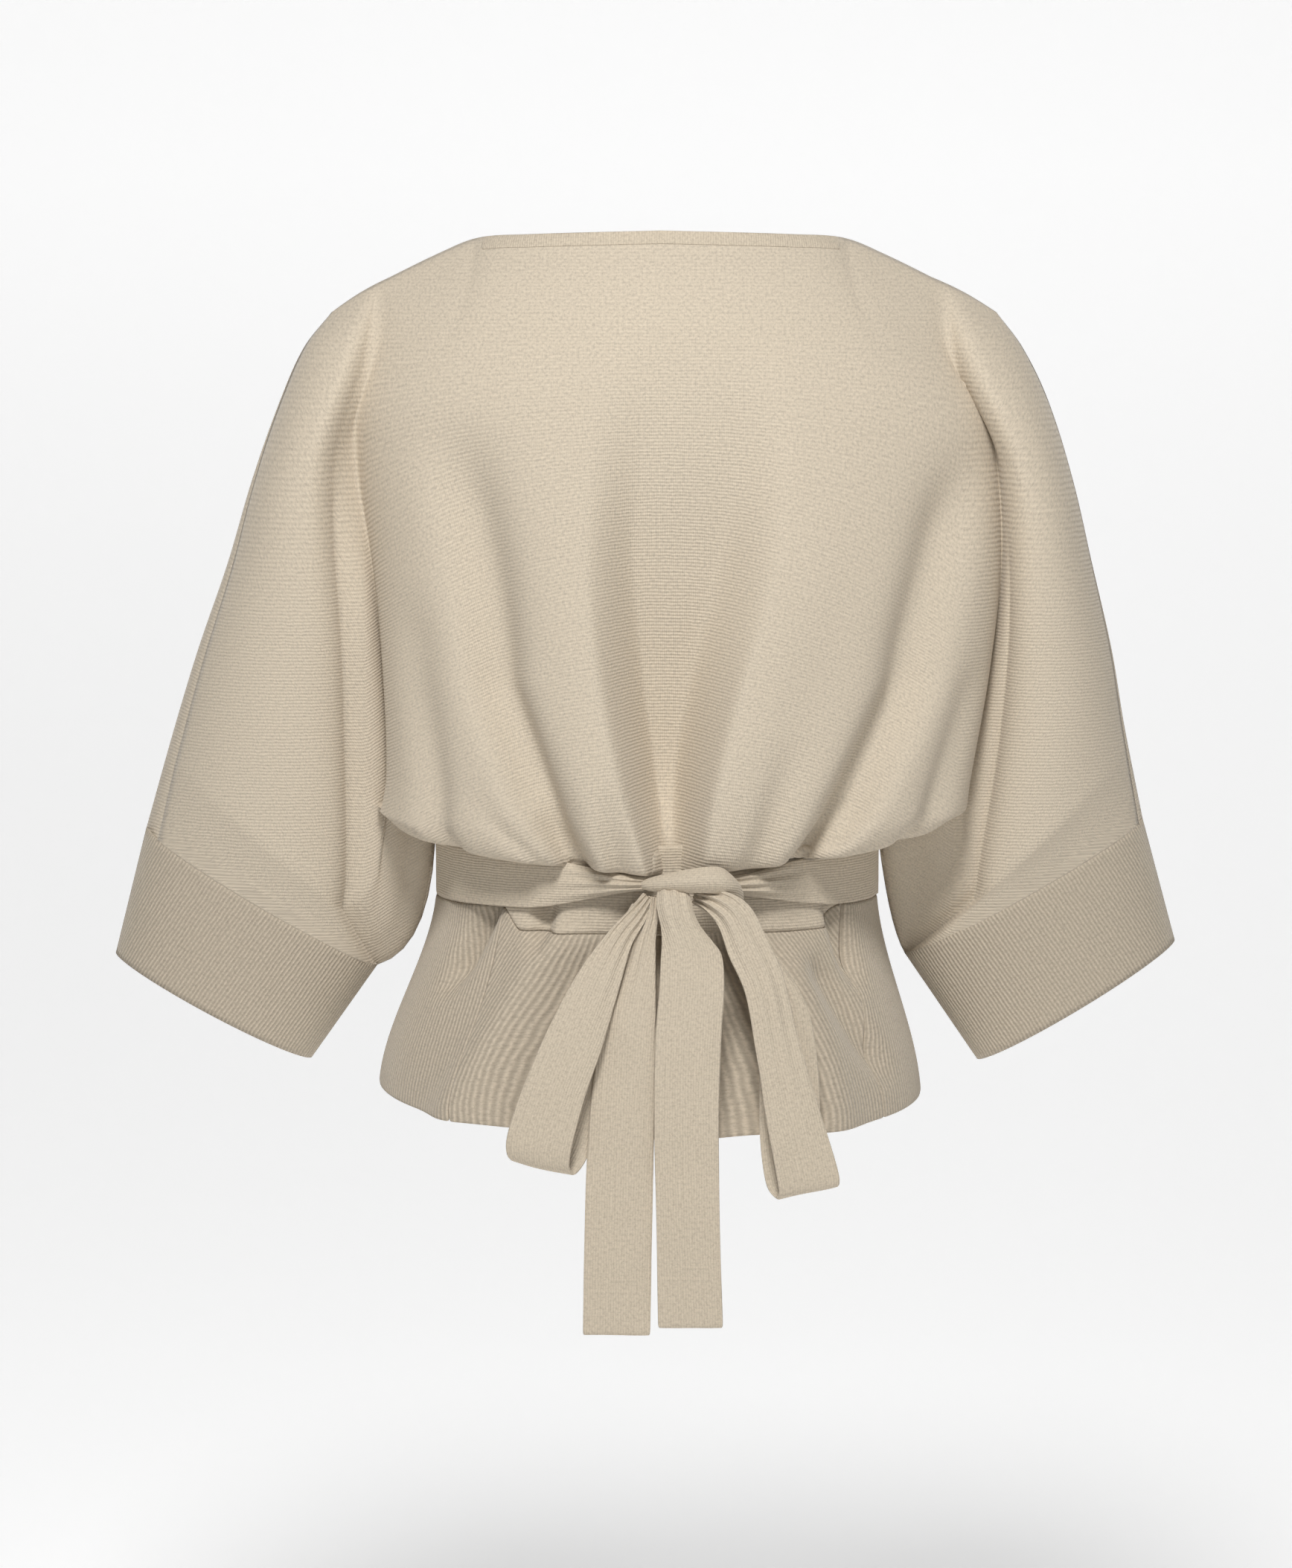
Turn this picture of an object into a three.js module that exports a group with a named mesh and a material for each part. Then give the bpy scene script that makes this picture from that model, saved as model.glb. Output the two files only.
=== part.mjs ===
// Wrap cardigan in fine knit, filled out as if worn, with its tie knotted at the back.
// Millimetres. The back faces -Y, the front faces +Y, the wearer's right is +X.
// The origin is midway between the neck points of the two shoulders.
import * as THREE from "three";

// Cloth
const WALL = 2.4;
const SEAM_GAP = 0.3;
const COLOURS = { knit: 0xcbbca4, rib: 0xc6b69e, tie: 0xcabaa2, trim: 0xc2b299 };

// Neck and shoulders
const NECK_HALF = 112;
const NECK_BACK = 50;
const SHOULDER_HALF = 165;
const SHOULDER_LINE = [
  { out: 0, z: -2 },
  { out: 80, z: -4 },
  { out: 112, z: -6 },
  { out: 135, z: -15 },
  { out: 172, z: -33 },
  { out: 190, z: -42 },
  { out: 201, z: -51 },
];

// Waist and hem
const WAIST = { left: 139, right: 134, depth: 88, z: -369 };
const SIDE_BAND_HEIGHT = 40;
const BACK_BAND_HEIGHT = 52;
const HEM = { left: 175, right: 162, depth: 126, sideZ: -529, backDrop: 11, frontDrop: 9, rightDrop: 3 };
// Angle of the side seams from the centre back, degrees
const SIDE_SEAM = { left: -44, right: 57 };

// Sections of the bodice, from the neck (down 0) to the waist seam (down 1). left and right are
// its widest points, lip is how far these lie behind or before the side, and curl is how many
// degrees the section runs on round them, under the fold above the sleeve. frontEdge is where
// the edge of the upper front crosses, from 1 at its own side to -1 at the other.
const SECTIONS = [
  {
    down: 0, z: 0, left: 190, right: 190, curl: -30, frontEdge: 0.68,
    backDepth: 50, backLip: 0, frontDepth: 40, frontLip: 0,
  },
  {
    down: 0.08, z: -28, left: 192, right: 194, curl: -28, frontEdge: 0.58,
    backDepth: 76, backLip: 0, frontDepth: 58, frontLip: 0,
  },
  {
    down: 0.2, z: -78, left: 196, right: 204, curl: -22, frontEdge: 0.34,
    backDepth: 92, backLip: 0, frontDepth: 80, frontLip: 0,
  },
  {
    down: 0.35, z: -140, left: 188, right: 208, curl: -10, frontEdge: 0.15,
    backDepth: 97, backLip: 6, frontDepth: 98, frontLip: 6,
  },
  {
    down: 0.5, z: -205, left: 176, right: 208, curl: -2, frontEdge: 0.02,
    backDepth: 95, backLip: 14, frontDepth: 103, frontLip: 13,
  },
  {
    down: 0.65, z: -270, left: 170, right: 201, curl: 5, frontEdge: -0.115,
    backDepth: 94, backLip: 20, frontDepth: 97, frontLip: 18,
  },
  {
    down: 0.8, z: -333, left: 168, right: 190, curl: 9, frontEdge: -0.255,
    backDepth: 93, backLip: 24, frontDepth: 88, frontLip: 22,
  },
  {
    down: 0.88, z: -364, left: 172, right: 185, curl: 8, frontEdge: -0.33,
    backDepth: 90, backLip: 24, frontDepth: 82, frontLip: 22,
  },
  {
    down: 0.93, z: -382, left: 166, right: 175, curl: 6, frontEdge: -0.385,
    backDepth: 87, backLip: 22, frontDepth: 80, frontLip: 20,
  },
  {
    down: 0.96, z: -384, left: 156, right: 160, curl: 4, frontEdge: -0.43,
    backDepth: 85, backLip: 16, frontDepth: 81, frontLip: 14,
  },
  {
    down: 0.985, z: -374, left: 146, right: 142, curl: 1, frontEdge: -0.5,
    backDepth: 88, backLip: 8, frontDepth: 87, frontLip: 7,
  },
  {
    down: 1, z: -369, left: 139, right: 134, curl: 0, frontEdge: -0.545,
    backDepth: 88, backLip: 0, frontDepth: 88, frontLip: 0,
  },
];
const HANG_RISE = 14;
const HANG = { from: 0.84, full: 0.93, until: 0.96 };
// The lower front doesn't hang over where the upper front covers it: it tapers to the waist
const COVERED_FRONT = [
  { down: 0.8, z: -333, shrink: 0 },
  { down: 0.88, z: -351, shrink: 6 },
  { down: 0.93, z: -360, shrink: 9 },
  { down: 0.96, z: -364, shrink: 6 },
  { down: 0.985, z: -367.5, shrink: 3 },
  { down: 1, z: -369, shrink: 0 },
];

// The outer line of each sleeve, from the shoulder (0) to the cuff seam (1), and how far the
// sleeve stands out behind and before its own chord
const ARM_LINE = [
  { down: 0, leftX: -201, leftZ: -51, rightX: 205, rightZ: -51, y: 0, puff: 0 },
  { down: 0.08, leftX: -218, leftZ: -72, rightX: 221, rightZ: -72, y: 2, puff: 18 },
  { down: 0.2, leftX: -233, leftZ: -104, rightX: 237, rightZ: -104, y: 4, puff: 30 },
  { down: 0.35, leftX: -251, leftZ: -153, rightX: 252, rightZ: -153, y: 6, puff: 34 },
  { down: 0.5, leftX: -267, leftZ: -205, rightX: 265, rightZ: -205, y: 9, puff: 30 },
  { down: 0.65, leftX: -286, leftZ: -258, rightX: 278, rightZ: -258, y: 13, puff: 24 },
  { down: 0.8, leftX: -302, leftZ: -308, rightX: 287, rightZ: -306, y: 18, puff: 16 },
  { down: 1, leftX: -321, leftZ: -372, rightX: 301, rightZ: -366, y: 24, puff: 0 },
];

// Cuff ends: the seam's inner end, the outer and inner corners of the opening, and the bend of
// the underarm seam on its way from the cuff to the waist
const CUFFS = {
  left: {
    seamInner: [-177, 20, -457],
    endOuter: [-341, 35, -450],
    endInner: [-219, 30, -517],
    underarmBend: [-142, 12, -446],
  },
  right: {
    seamInner: [153, 20, -450],
    endOuter: [323, 35, -443],
    endInner: [199, 30, -518],
    underarmBend: [142, 12, -432],
  },
};
const CUFF_DEPTH = { seam: 42, end: 38 };
const CUFF_SHARE = 0.8;
// The sleeve's lower side is round across the underarm seam: its radius, the share of the
// sleeve's height over which it rises, and where along the seam
const UNDERARM = { round: 11, rise: 0.13, from: 0.5, at: 0.82, reach: 0.1 };
// How far the over-arm seam lies behind the outer line, as a share of the sleeve's columns, and
// the height below which it lies so far
const ARM_SEAM = { left: 0.13, right: 0.08, from: 0.35, topGap: 0.7, gapLength: 0.1 };
// The sleeve swells evenly from both sides of its chord, with a full outline, but next to the body
// it runs flat over the shoulder: the power of the outline there and how far down it becomes full
const SLEEVE_FULL = 1 / 2.2;
const SOFT_TOP = { power: 1.25, until: 0.5 };

// The hollow down the centre back, between two ridges: degrees from the centre
const CENTRE_HOLLOW = [
  { down: 0.15, left: -14, right: 25, depth: 0, ramp: 14, ridge: 0 },
  { down: 0.35, left: -14.5, right: 22.5, depth: 7, ramp: 10, ridge: 1 },
  { down: 0.5, left: -14.5, right: 19, depth: 15, ramp: 8, ridge: 3 },
  { down: 0.65, left: -12, right: 13.5, depth: 23, ramp: 7, ridge: 4 },
  { down: 0.8, left: -7.5, right: 9.5, depth: 26, ramp: 6, ridge: 5 },
  { down: 0.93, left: -3, right: 8, depth: 14, ramp: 5, ridge: 2 },
  { down: 1, left: -2, right: 8, depth: 0, ramp: 5, ridge: 0 },
];

// Folds of the bodice: degrees from the centre at three heights, where each starts, and its
// half width and depth at the start and at the waist
const BACK_FOLDS = [
  {
    name: "left long", high: -40, middle: -36, low: -19,
    from: 0.25, wide: 9, narrow: 4, shallow: 4, deep: 12,
  },
  {
    name: "left outer", high: -62, middle: -60, low: -52,
    from: 0.5, wide: 9, narrow: 5, shallow: 1, deep: 5,
  },
  {
    name: "left gather", high: -14, middle: -12, low: -9,
    from: 0.78, wide: 4, narrow: 3, shallow: 0, deep: 4,
  },
  {
    name: "right long", high: 60, middle: 49, low: 31,
    from: 0.3, wide: 10, narrow: 4, shallow: 5, deep: 11,
  },
  {
    name: "right inner", high: 30, middle: 26, low: 18,
    from: 0.7, wide: 5, narrow: 3.5, shallow: 0, deep: 4,
  },
  {
    name: "right outer", high: 72, middle: 70, low: 60,
    from: 0.6, wide: 8, narrow: 5, shallow: 1, deep: 5,
  },
];
const FRONT_FOLDS = [
  {
    name: "left side", high: -66, middle: -60, low: -52,
    from: 0.35, wide: 10, narrow: 5, shallow: 3, deep: 9,
  },
  {
    name: "left middle", high: -42, middle: -38, low: -30,
    from: 0.6, wide: 8, narrow: 4, shallow: 2, deep: 6,
  },
  {
    name: "left gather", high: -12, middle: -12, low: -11,
    from: 0.8, wide: 5, narrow: 4, shallow: 0, deep: 4,
  },
  {
    name: "right gather", high: 10, middle: 10, low: 9,
    from: 0.78, wide: 5, narrow: 4, shallow: 0, deep: 4,
  },
  {
    name: "right middle", high: 40, middle: 36, low: 28,
    from: 0.55, wide: 8, narrow: 4, shallow: 2, deep: 7,
  },
  {
    name: "right side", high: 66, middle: 62, low: 50,
    from: 0.4, wide: 10, narrow: 5, shallow: 3, deep: 9,
  },
];

// Creases (depth below 0) and ridges of the peplum: degrees from the centre at their upper and
// lower ends, the share of the way down where each starts and stops, and half width in degrees
const BACK_PEPLUM_FOLDS = [
  { name: "left crease", top: -45, bottom: -60, from: -0.2, to: 0.5, width: 4, depth: -8 },
  { name: "left pleat", top: -30, bottom: -31, from: -0.2, to: 0.25, width: 3, depth: -7 },
  { name: "left ridge", top: -25, bottom: -52, from: 0, to: 1.3, width: 7, depth: 7 },
  { name: "left hollow", top: -8, bottom: -28, from: 0.1, to: 1.3, width: 8, depth: -6 },
  { name: "right hollow", top: 14, bottom: 22, from: 0, to: 1.3, width: 9, depth: -7 },
  { name: "right ridge", top: 33, bottom: 42, from: 0.1, to: 1.3, width: 8, depth: 6 },
  { name: "right valley", top: 38, bottom: 62, from: 0.15, to: 0.9, width: 5, depth: -6 },
  { name: "right crease", top: 50, bottom: 58, from: -0.2, to: 0.45, width: 4, depth: -7 },
];
const FRONT_PEPLUM_FOLDS = [
  { name: "left wave", top: -60, bottom: -64, from: 0.1, to: 1.4, width: 12, depth: 6 },
  { name: "left hollow", top: -30, bottom: -34, from: 0.1, to: 1.4, width: 11, depth: -6 },
  { name: "middle wave", top: 2, bottom: -2, from: 0.1, to: 1.4, width: 13, depth: 5 },
  { name: "right hollow", top: 32, bottom: 36, from: 0.1, to: 1.4, width: 11, depth: -6 },
  { name: "right wave", top: 62, bottom: 66, from: 0.1, to: 1.4, width: 12, depth: 6 },
];

// How far the upper front lies over the lower one
const OVERLAP_LIFT = 5.6;
const OVERLAP_FADE = 0.3;
const COVER_START = -0.74;
const COVER_FADE = 0.14;

// Raised ribs of the cuffs and peplum
const CUFF_RIBS = 64;
const PEPLUM_RIB_DEGREES = 2.6;
const RIB_HEIGHT = 0.9;

// Narrow trim along the neck and front edges
const TRIM_THICKNESS = 1.3;
const TRIM_SHARE = 0.04;

// Mesh steps
const BODY_COLUMNS = 26;
const BODY_CROWDING = 1.3;
const FRONT_COLUMNS = 10;
const CUFF_SEAM_COLUMNS = 7;
const UNDERARM_COLUMNS = 4;
const UPPER_ROWS = 14;
const TRIM_ROW = 0.012;
const BAND_STEP = 6;
const RIBBON_STEPS = 2;

// How far the tie lies from the waistband
const TIE_STAND = 1.2;

// Rows of the tie, which starts at each side seam and meets in the knot. tilt turns the width
// from +X towards +Z, turn turns it towards +Y, and camber rounds the cloth across its width.
const STRETCHES = {
  left: [
    { angle: -43, z: -392, width: 33, away: 0, camber: 0 },
    { angle: -34, z: -392, width: 33, away: 0, camber: 0 },
    { angle: -25, z: -392.5, width: 31, away: 0.5, camber: 1 },
    { angle: -16, z: -393, width: 25, away: 2, camber: 2 },
    { angle: -9, z: -393.5, width: 15, away: 5, camber: 3 },
    { angle: -5, z: -395, width: 9, away: 9.8, camber: 1 },
  ],
  right: [
    { angle: 56, z: -392, width: 33, away: 0, camber: 0 },
    { angle: 46, z: -392, width: 33, away: 0, camber: 0 },
    { angle: 36, z: -392.5, width: 28, away: 1, camber: 2 },
    { angle: 27, z: -394, width: 21, away: 4, camber: 3 },
    { angle: 20.5, z: -396, width: 13, away: 8, camber: 2 },
  ],
};
const KNOT = [
  { x: -12, y: -101, z: -396, width: 6, tilt: 80, turn: 0, camber: 1 },
  { x: -3, y: -108, z: -395, width: 10, tilt: 80, turn: 0, camber: 3 },
  { x: 8, y: -113, z: -394, width: 13, tilt: 82, turn: 0, camber: 5 },
  { x: 21, y: -116, z: -393, width: 15, tilt: 88, turn: 0, camber: 6 },
  { x: 33, y: -114, z: -394, width: 15, tilt: 95, turn: 0, camber: 6 },
  { x: 41, y: -109, z: -397, width: 12, tilt: 100, turn: 0, camber: 4 },
  { x: 46, y: -102, z: -401, width: 8, tilt: 100, turn: 0, camber: 2 },
];
const LEFT_TAIL = [
  { x: -3.5, y: -108.5, z: -401, width: 5, tilt: 0, turn: -20, camber: 1 },
  { x: -6, y: -112, z: -416, width: 8, tilt: 0, turn: -25, camber: 2 },
  { x: -8.5, y: -117, z: -434, width: 11, tilt: 0, turn: -28, camber: 2 },
  { x: -13.5, y: -121, z: -450, width: 20, tilt: 0, turn: -25, camber: 2 },
  { x: -16.5, y: -125, z: -470, width: 25, tilt: 0, turn: -18, camber: 2 },
  { x: -19, y: -130, z: -500, width: 32, tilt: 0, turn: -10, camber: 1 },
  { x: -24, y: -134, z: -530, width: 39, tilt: 0, turn: -4, camber: 1 },
  { x: -26, y: -136, z: -590, width: 40.5, tilt: 0, turn: 0, camber: 0.5 },
  { x: -26.5, y: -136, z: -657, width: 40.5, tilt: 0, turn: 0, camber: 0.5 },
];
const RIGHT_TAIL = [
  { x: 8, y: -109, z: -402, width: 16, tilt: 0, turn: 0, camber: 4 },
  { x: 8, y: -114, z: -412, width: 21, tilt: 0, turn: 0, camber: 5 },
  { x: 14, y: -120, z: -425, width: 31, tilt: 0, turn: 0, camber: 4 },
  { x: 17.5, y: -125, z: -441, width: 38, tilt: 0, turn: 0, camber: 2 },
  { x: 17.5, y: -130, z: -475, width: 39, tilt: 0, turn: 0, camber: 1 },
  { x: 16.5, y: -134, z: -530, width: 38, tilt: 0, turn: -2, camber: 0.5 },
  { x: 16.5, y: -135, z: -590, width: 38, tilt: 0, turn: -2, camber: 0.5 },
  { x: 17.5, y: -135, z: -652, width: 39, tilt: 0, turn: 0, camber: 0.5 },
];
const LEFT_LOOP = [
  { x: -9.8, y: -106.5, z: -403, width: 9, tilt: -40, turn: 0, camber: 1 },
  { x: -23.5, y: -117, z: -421, width: 17, tilt: -30, turn: 0, camber: 2 },
  { x: -37.5, y: -126, z: -445, width: 27, tilt: -24, turn: 0, camber: 2 },
  { x: -50, y: -134, z: -475, width: 34, tilt: -22, turn: 0, camber: 2 },
  { x: -63, y: -140, z: -508, width: 37, tilt: -20, turn: 0, camber: 1 },
  { x: -71, y: -143, z: -536, width: 38, tilt: -17, turn: 0, camber: 0 },
  { x: -72, y: -139, z: -551, width: 38, tilt: -15, turn: 0, camber: 0 },
  { x: -67, y: -130, z: -550, width: 38, tilt: -13, turn: 0, camber: 0 },
  { x: -56, y: -125, z: -527, width: 36, tilt: -16, turn: 0, camber: -1 },
  { x: -45, y: -119, z: -490, width: 32, tilt: -20, turn: 0, camber: -1 },
  { x: -33, y: -112, z: -452, width: 24, tilt: -24, turn: 0, camber: -1 },
  { x: -22, y: -106, z: -424, width: 15, tilt: -35, turn: 0, camber: -1 },
  { x: -13, y: -101, z: -406, width: 8, tilt: -40, turn: 0, camber: -1 },
];
const RIGHT_LOOP = [
  { x: 28, y: -110, z: -406.3, width: 10, tilt: 60, turn: 0, camber: 1 },
  { x: 40, y: -119, z: -411, width: 18, tilt: 52, turn: 0, camber: 3 },
  { x: 52, y: -127, z: -428, width: 25, tilt: 33, turn: 6, camber: 3 },
  { x: 64, y: -133, z: -460, width: 29, tilt: 22, turn: 14, camber: 2 },
  { x: 74, y: -138, z: -500, width: 34, tilt: 17, turn: 12, camber: 1 },
  { x: 83, y: -142, z: -538, width: 38, tilt: 14, turn: 8, camber: 0 },
  { x: 87, y: -141, z: -566, width: 39, tilt: 12, turn: 4, camber: 0 },
  { x: 86, y: -132, z: -569, width: 38, tilt: 11, turn: 0, camber: 0 },
  { x: 79, y: -124, z: -543, width: 37, tilt: 14, turn: 0, camber: -1 },
  { x: 68, y: -117, z: -500, width: 32, tilt: 17, turn: 0, camber: -1 },
  { x: 57, y: -111, z: -460, width: 26, tilt: 22, turn: 0, camber: -1 },
  { x: 44, y: -106, z: -426, width: 18, tilt: 35, turn: 0, camber: -1 },
  { x: 31, y: -102, z: -407, width: 9, tilt: 55, turn: 0, camber: -1 },
];

const clamp = (value, low, high) => Math.min(high, Math.max(low, value));
const mix = (a, b, share) => a + (b - a) * share;
const radians = THREE.MathUtils.degToRad;
const vector = (point) => new THREE.Vector3(...point);

function ease(share) {
  const t = clamp(share, 0, 1);
  return t * t * (3 - 2 * t);
}

// Rises as a quarter circle, so that cloth leaves a shoulder or an edge round
function quarter(share) {
  const left = 1 - clamp(share, 0, 1);
  return Math.sqrt(1 - left * left);
}

const bell = (offset) => Math.exp(-offset * offset);

// Reads one column of a table on a smooth curve through its rows
function read(rows, key, at, column) {
  const last = rows.length - 1;
  let index = 0;
  while (index < last - 1 && at > rows[index + 1][key]) {
    index += 1;
  }
  const slope = (row) => {
    const before = rows[Math.max(0, row - 1)];
    const after = rows[Math.min(last, row + 1)];
    return (after[column] - before[column]) / (after[key] - before[key]);
  };
  const low = rows[index];
  const high = rows[index + 1];
  const span = high[key] - low[key];
  const t = clamp((at - low[key]) / span, 0, 1);
  const t2 = t * t;
  const t3 = t2 * t;
  return (2 * t3 - 3 * t2 + 1) * low[column] + (t3 - 2 * t2 + t) * span * slope(index)
    + (3 * t2 - 2 * t3) * high[column] + (t3 - t2) * span * slope(index + 1);
}

// Depth of the long folds at one angle and height, out of the cloth above 0
function foldOffset(folds, angle, down) {
  let offset = 0;
  for (const fold of folds) {
    const share = clamp((down - fold.from) / (0.92 - fold.from), 0, 1);
    const path = down < 0.65
      ? mix(fold.high, fold.middle, ease((down - 0.3) / 0.35))
      : mix(fold.middle, fold.low, clamp((down - 0.65) / 0.27, 0, 1));
    const width = mix(fold.wide, fold.narrow, share);
    const depth = mix(fold.shallow, fold.deep, share * share) * ease(share * 4);
    offset -= depth * bell((angle - path) / width);
  }
  return offset * (1 - ease((down - 0.94) / 0.06));
}

function centreHollow(angle, down) {
  if (down < CENTRE_HOLLOW[0].down) {
    return 0;
  }
  const at = (column) => read(CENTRE_HOLLOW, "down", down, column);
  const ramp = at("ramp");
  const sink = ease((angle - at("left")) / ramp) * ease((at("right") - angle) / ramp);
  const ridges = bell((angle - at("left") + ramp * 0.5) / ramp)
    + bell((angle - at("right") - ramp * 0.5) / ramp);
  return at("ridge") * ridges - at("depth") * sink;
}

// A point of the shoulder and neck line, across from the left (-1) to the right (1)
function topPoint(face, across) {
  const x = across * SHOULDER_HALF;
  const inNeck = Math.max(0, 1 - (x / NECK_HALF) ** 2);
  const y = face < 0 ? -NECK_BACK * inNeck ** 0.7 : 0;
  return new THREE.Vector3(x, y, read(SHOULDER_LINE, "out", Math.abs(x), "z"));
}

// How far the upper front stands off, where the lower front lies beneath it
function overlapLift(across, down) {
  const lowerEdge = -read(SECTIONS, "down", down, "frontEdge");
  return OVERLAP_LIFT * ease((lowerEdge + OVERLAP_FADE - across) / OVERLAP_FADE);
}

// A point of the body: face -1 is the back and 1 the front, across runs -1 to 1
function bodyPoint(face, across, down, frontSide = 0) {
  const at = (column) => read(SECTIONS, "down", down, column);
  const degrees = across * (90 + at("curl"));
  const angle = radians(degrees);
  const half = across < 0 ? at("left") : at("right");
  const depth = face < 0 ? at("backDepth") : at("frontDepth");
  const lip = face < 0 ? at("backLip") : at("frontLip");
  let out = foldOffset(face < 0 ? BACK_FOLDS : FRONT_FOLDS, degrees, down);
  if (face < 0) {
    out += centreHollow(degrees, down);
  }
  const hang = ease((down - HANG.from) / (HANG.full - HANG.from))
    * (1 - ease((down - HANG.until) / (1 - HANG.until)));
  let height = at("z") + HANG_RISE * hang * across * across;
  if (frontSide > 0) {
    out += overlapLift(across, down);
  }
  if (frontSide < 0 && down > COVERED_FRONT[0].down) {
    const covered = ease((across - COVER_START) / COVER_FADE);
    out -= covered * read(COVERED_FRONT, "down", down, "shrink");
    height = mix(height, read(COVERED_FRONT, "down", down, "z"), covered);
  }
  const top = topPoint(face, across);
  const x = (half + out) * Math.sin(angle);
  const y = face * (lip + (depth + out) * Math.cos(angle));
  return new THREE.Vector3(
    mix(top.x, x, ease(down / 0.3)),
    mix(top.y, y, quarter(down / 0.28)),
    height + top.z * (1 - ease(down / 0.35)),
  );
}

// The outer line of a sleeve, side -1 left and 1 right
function armPoint(side, down) {
  const name = side < 0 ? "left" : "right";
  const at = (column) => read(ARM_LINE, "down", down, column);
  return new THREE.Vector3(at(`${name}X`), at("y"), at(`${name}Z`));
}

const cuffOf = (side) => (side < 0 ? CUFFS.left : CUFFS.right);

// A ring of the cuff: the angle is 0 at its outer end and 180 at its inner end
function ringPoint(outer, inner, depth, degrees) {
  const angle = radians(degrees);
  const point = outer.clone().lerp(inner, (1 - Math.cos(angle)) / 2);
  point.y += depth * Math.sin(angle);
  return point;
}

// The lower edge of a sleeve half: the cuff seam, then the underarm seam up to the waist
function sleeveEdge(face, side, share) {
  const cuff = cuffOf(side);
  const inner = vector(cuff.seamInner);
  if (share <= CUFF_SHARE) {
    return ringPoint(armPoint(side, 1), inner, face * CUFF_DEPTH.seam, (180 * share) / CUFF_SHARE);
  }
  const waistEnd = bodyPoint(face, side, 1);
  const underarm = new THREE.QuadraticBezierCurve3(inner, vector(cuff.underarmBend), waistEnd);
  return underarm.getPoint((share - CUFF_SHARE) / (1 - CUFF_SHARE));
}

// Share of the chord between the outer line (0) and the side fold (1) at one column
function chordShare(share) {
  if (share <= CUFF_SHARE) {
    return (CUFF_SHARE * (1 - Math.cos((Math.PI * share) / CUFF_SHARE))) / 2;
  }
  return share;
}

function shoulderPoint(side, chord) {
  const start = armPoint(side, 0);
  const end = topPoint(1, side);
  const x = mix(start.x, end.x, chord);
  const z = mix(start.z, end.z, chord);
  return new THREE.Vector3(x, 0, z + 1.5 * Math.sin(Math.PI * chord));
}

// The side fold, which runs straight to the waist where the bodice hangs over it
function straightFold(face, side, down) {
  if (down < HANG.from) {
    return bodyPoint(face, side, down);
  }
  const share = (down - HANG.from) / (1 - HANG.from);
  return bodyPoint(face, side, HANG.from).lerp(bodyPoint(face, side, 1), share);
}

// A point of a sleeve half, blended between its four edges and puffed out
function sleevePoint(face, side, share, down) {
  const chord = chordShare(share);
  const straight = straightFold(face, side, down);
  const edges = new THREE.Vector3()
    .addScaledVector(shoulderPoint(side, chord), 1 - down)
    .addScaledVector(sleeveEdge(face, side, share), down)
    .addScaledVector(armPoint(side, down), 1 - chord)
    .addScaledVector(straight, chord);
  const corners = new THREE.Vector3()
    .addScaledVector(armPoint(side, 0), (1 - down) * (1 - chord))
    .addScaledVector(topPoint(1, side), (1 - down) * chord)
    .addScaledVector(armPoint(side, 1), down * (1 - chord))
    .addScaledVector(bodyPoint(face, side, 1), down * chord);
  const puff = read(ARM_LINE, "down", down, "puff");
  const power = chord < 0.5 ? SLEEVE_FULL : mix(SOFT_TOP.power, SLEEVE_FULL, ease(down / SOFT_TOP.until));
  const round = (1 - Math.abs(2 * chord - 1) ** 2.6) ** power;
  edges.sub(corners);
  edges.y += face * puff * round;
  const underarm = quarter((1 - down) / UNDERARM.rise) * ease((down - UNDERARM.from) / 0.4);
  edges.y += face * UNDERARM.round * underarm * bell((chord - UNDERARM.at) / UNDERARM.reach);
  const hanging = bodyPoint(face, side, down).sub(straight);
  return edges.addScaledVector(hanging, ease((chord - 0.8) / 0.2));
}

// One column of a panel is either of the body or of a sleeve
function stationPoint(station, down) {
  if (station.part === "sleeve") {
    return sleevePoint(station.face, station.side, stationShare(station, down), down);
  }
  if (station.face < 0) {
    return bodyPoint(station.face, station.across, down);
  }
  const edge = station.side * read(SECTIONS, "down", down, "frontEdge");
  return bodyPoint(station.face, mix(edge, station.side, station.share), down, station.side);
}

// The over-arm seam runs out to the outer line at the shoulder
function stationShare(station, down) {
  return station.armSeam ? station.share * Math.sqrt(clamp(down / ARM_SEAM.from, 0, 1)) : station.share;
}

// Rows from the neck to the waist, closer together where the bodice hangs over its waist seam
function panelRows() {
  const rows = [0, TRIM_ROW];
  for (let i = 1; i <= UPPER_ROWS; i += 1) {
    rows.push(HANG.from * (i / UPPER_ROWS) ** 1.25);
  }
  return [...rows, ...SECTIONS.map((section) => section.down).filter((down) => down > HANG.from)];
}

// Columns of one sleeve half from the share given to the side fold
function sleeveStations(face, side, from) {
  const stations = [];
  for (let i = 0; i < CUFF_SEAM_COLUMNS; i += 1) {
    stations.push({ part: "sleeve", face, side, share: mix(from, CUFF_SHARE, i / CUFF_SEAM_COLUMNS) });
  }
  for (let i = 0; i < UNDERARM_COLUMNS; i += 1) {
    stations.push({ part: "sleeve", face, side, share: mix(CUFF_SHARE, 0.985, i / (UNDERARM_COLUMNS - 1)) });
  }
  return stations;
}

function backStations() {
  const body = [];
  for (let i = 0; i <= BODY_COLUMNS; i += 1) {
    const even = mix(-1, 1, i / BODY_COLUMNS);
    const across = Math.sign(even) * Math.abs(even) ** BODY_CROWDING;
    body.push({ part: "body", face: -1, across: across * 0.995 });
  }
  const left = sleeveStations(-1, -1, ARM_SEAM.left);
  const right = sleeveStations(-1, 1, ARM_SEAM.right);
  left[0].armSeam = 1;
  right[0].armSeam = 1;
  return [...left, ...body, ...right.reverse()];
}

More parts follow.
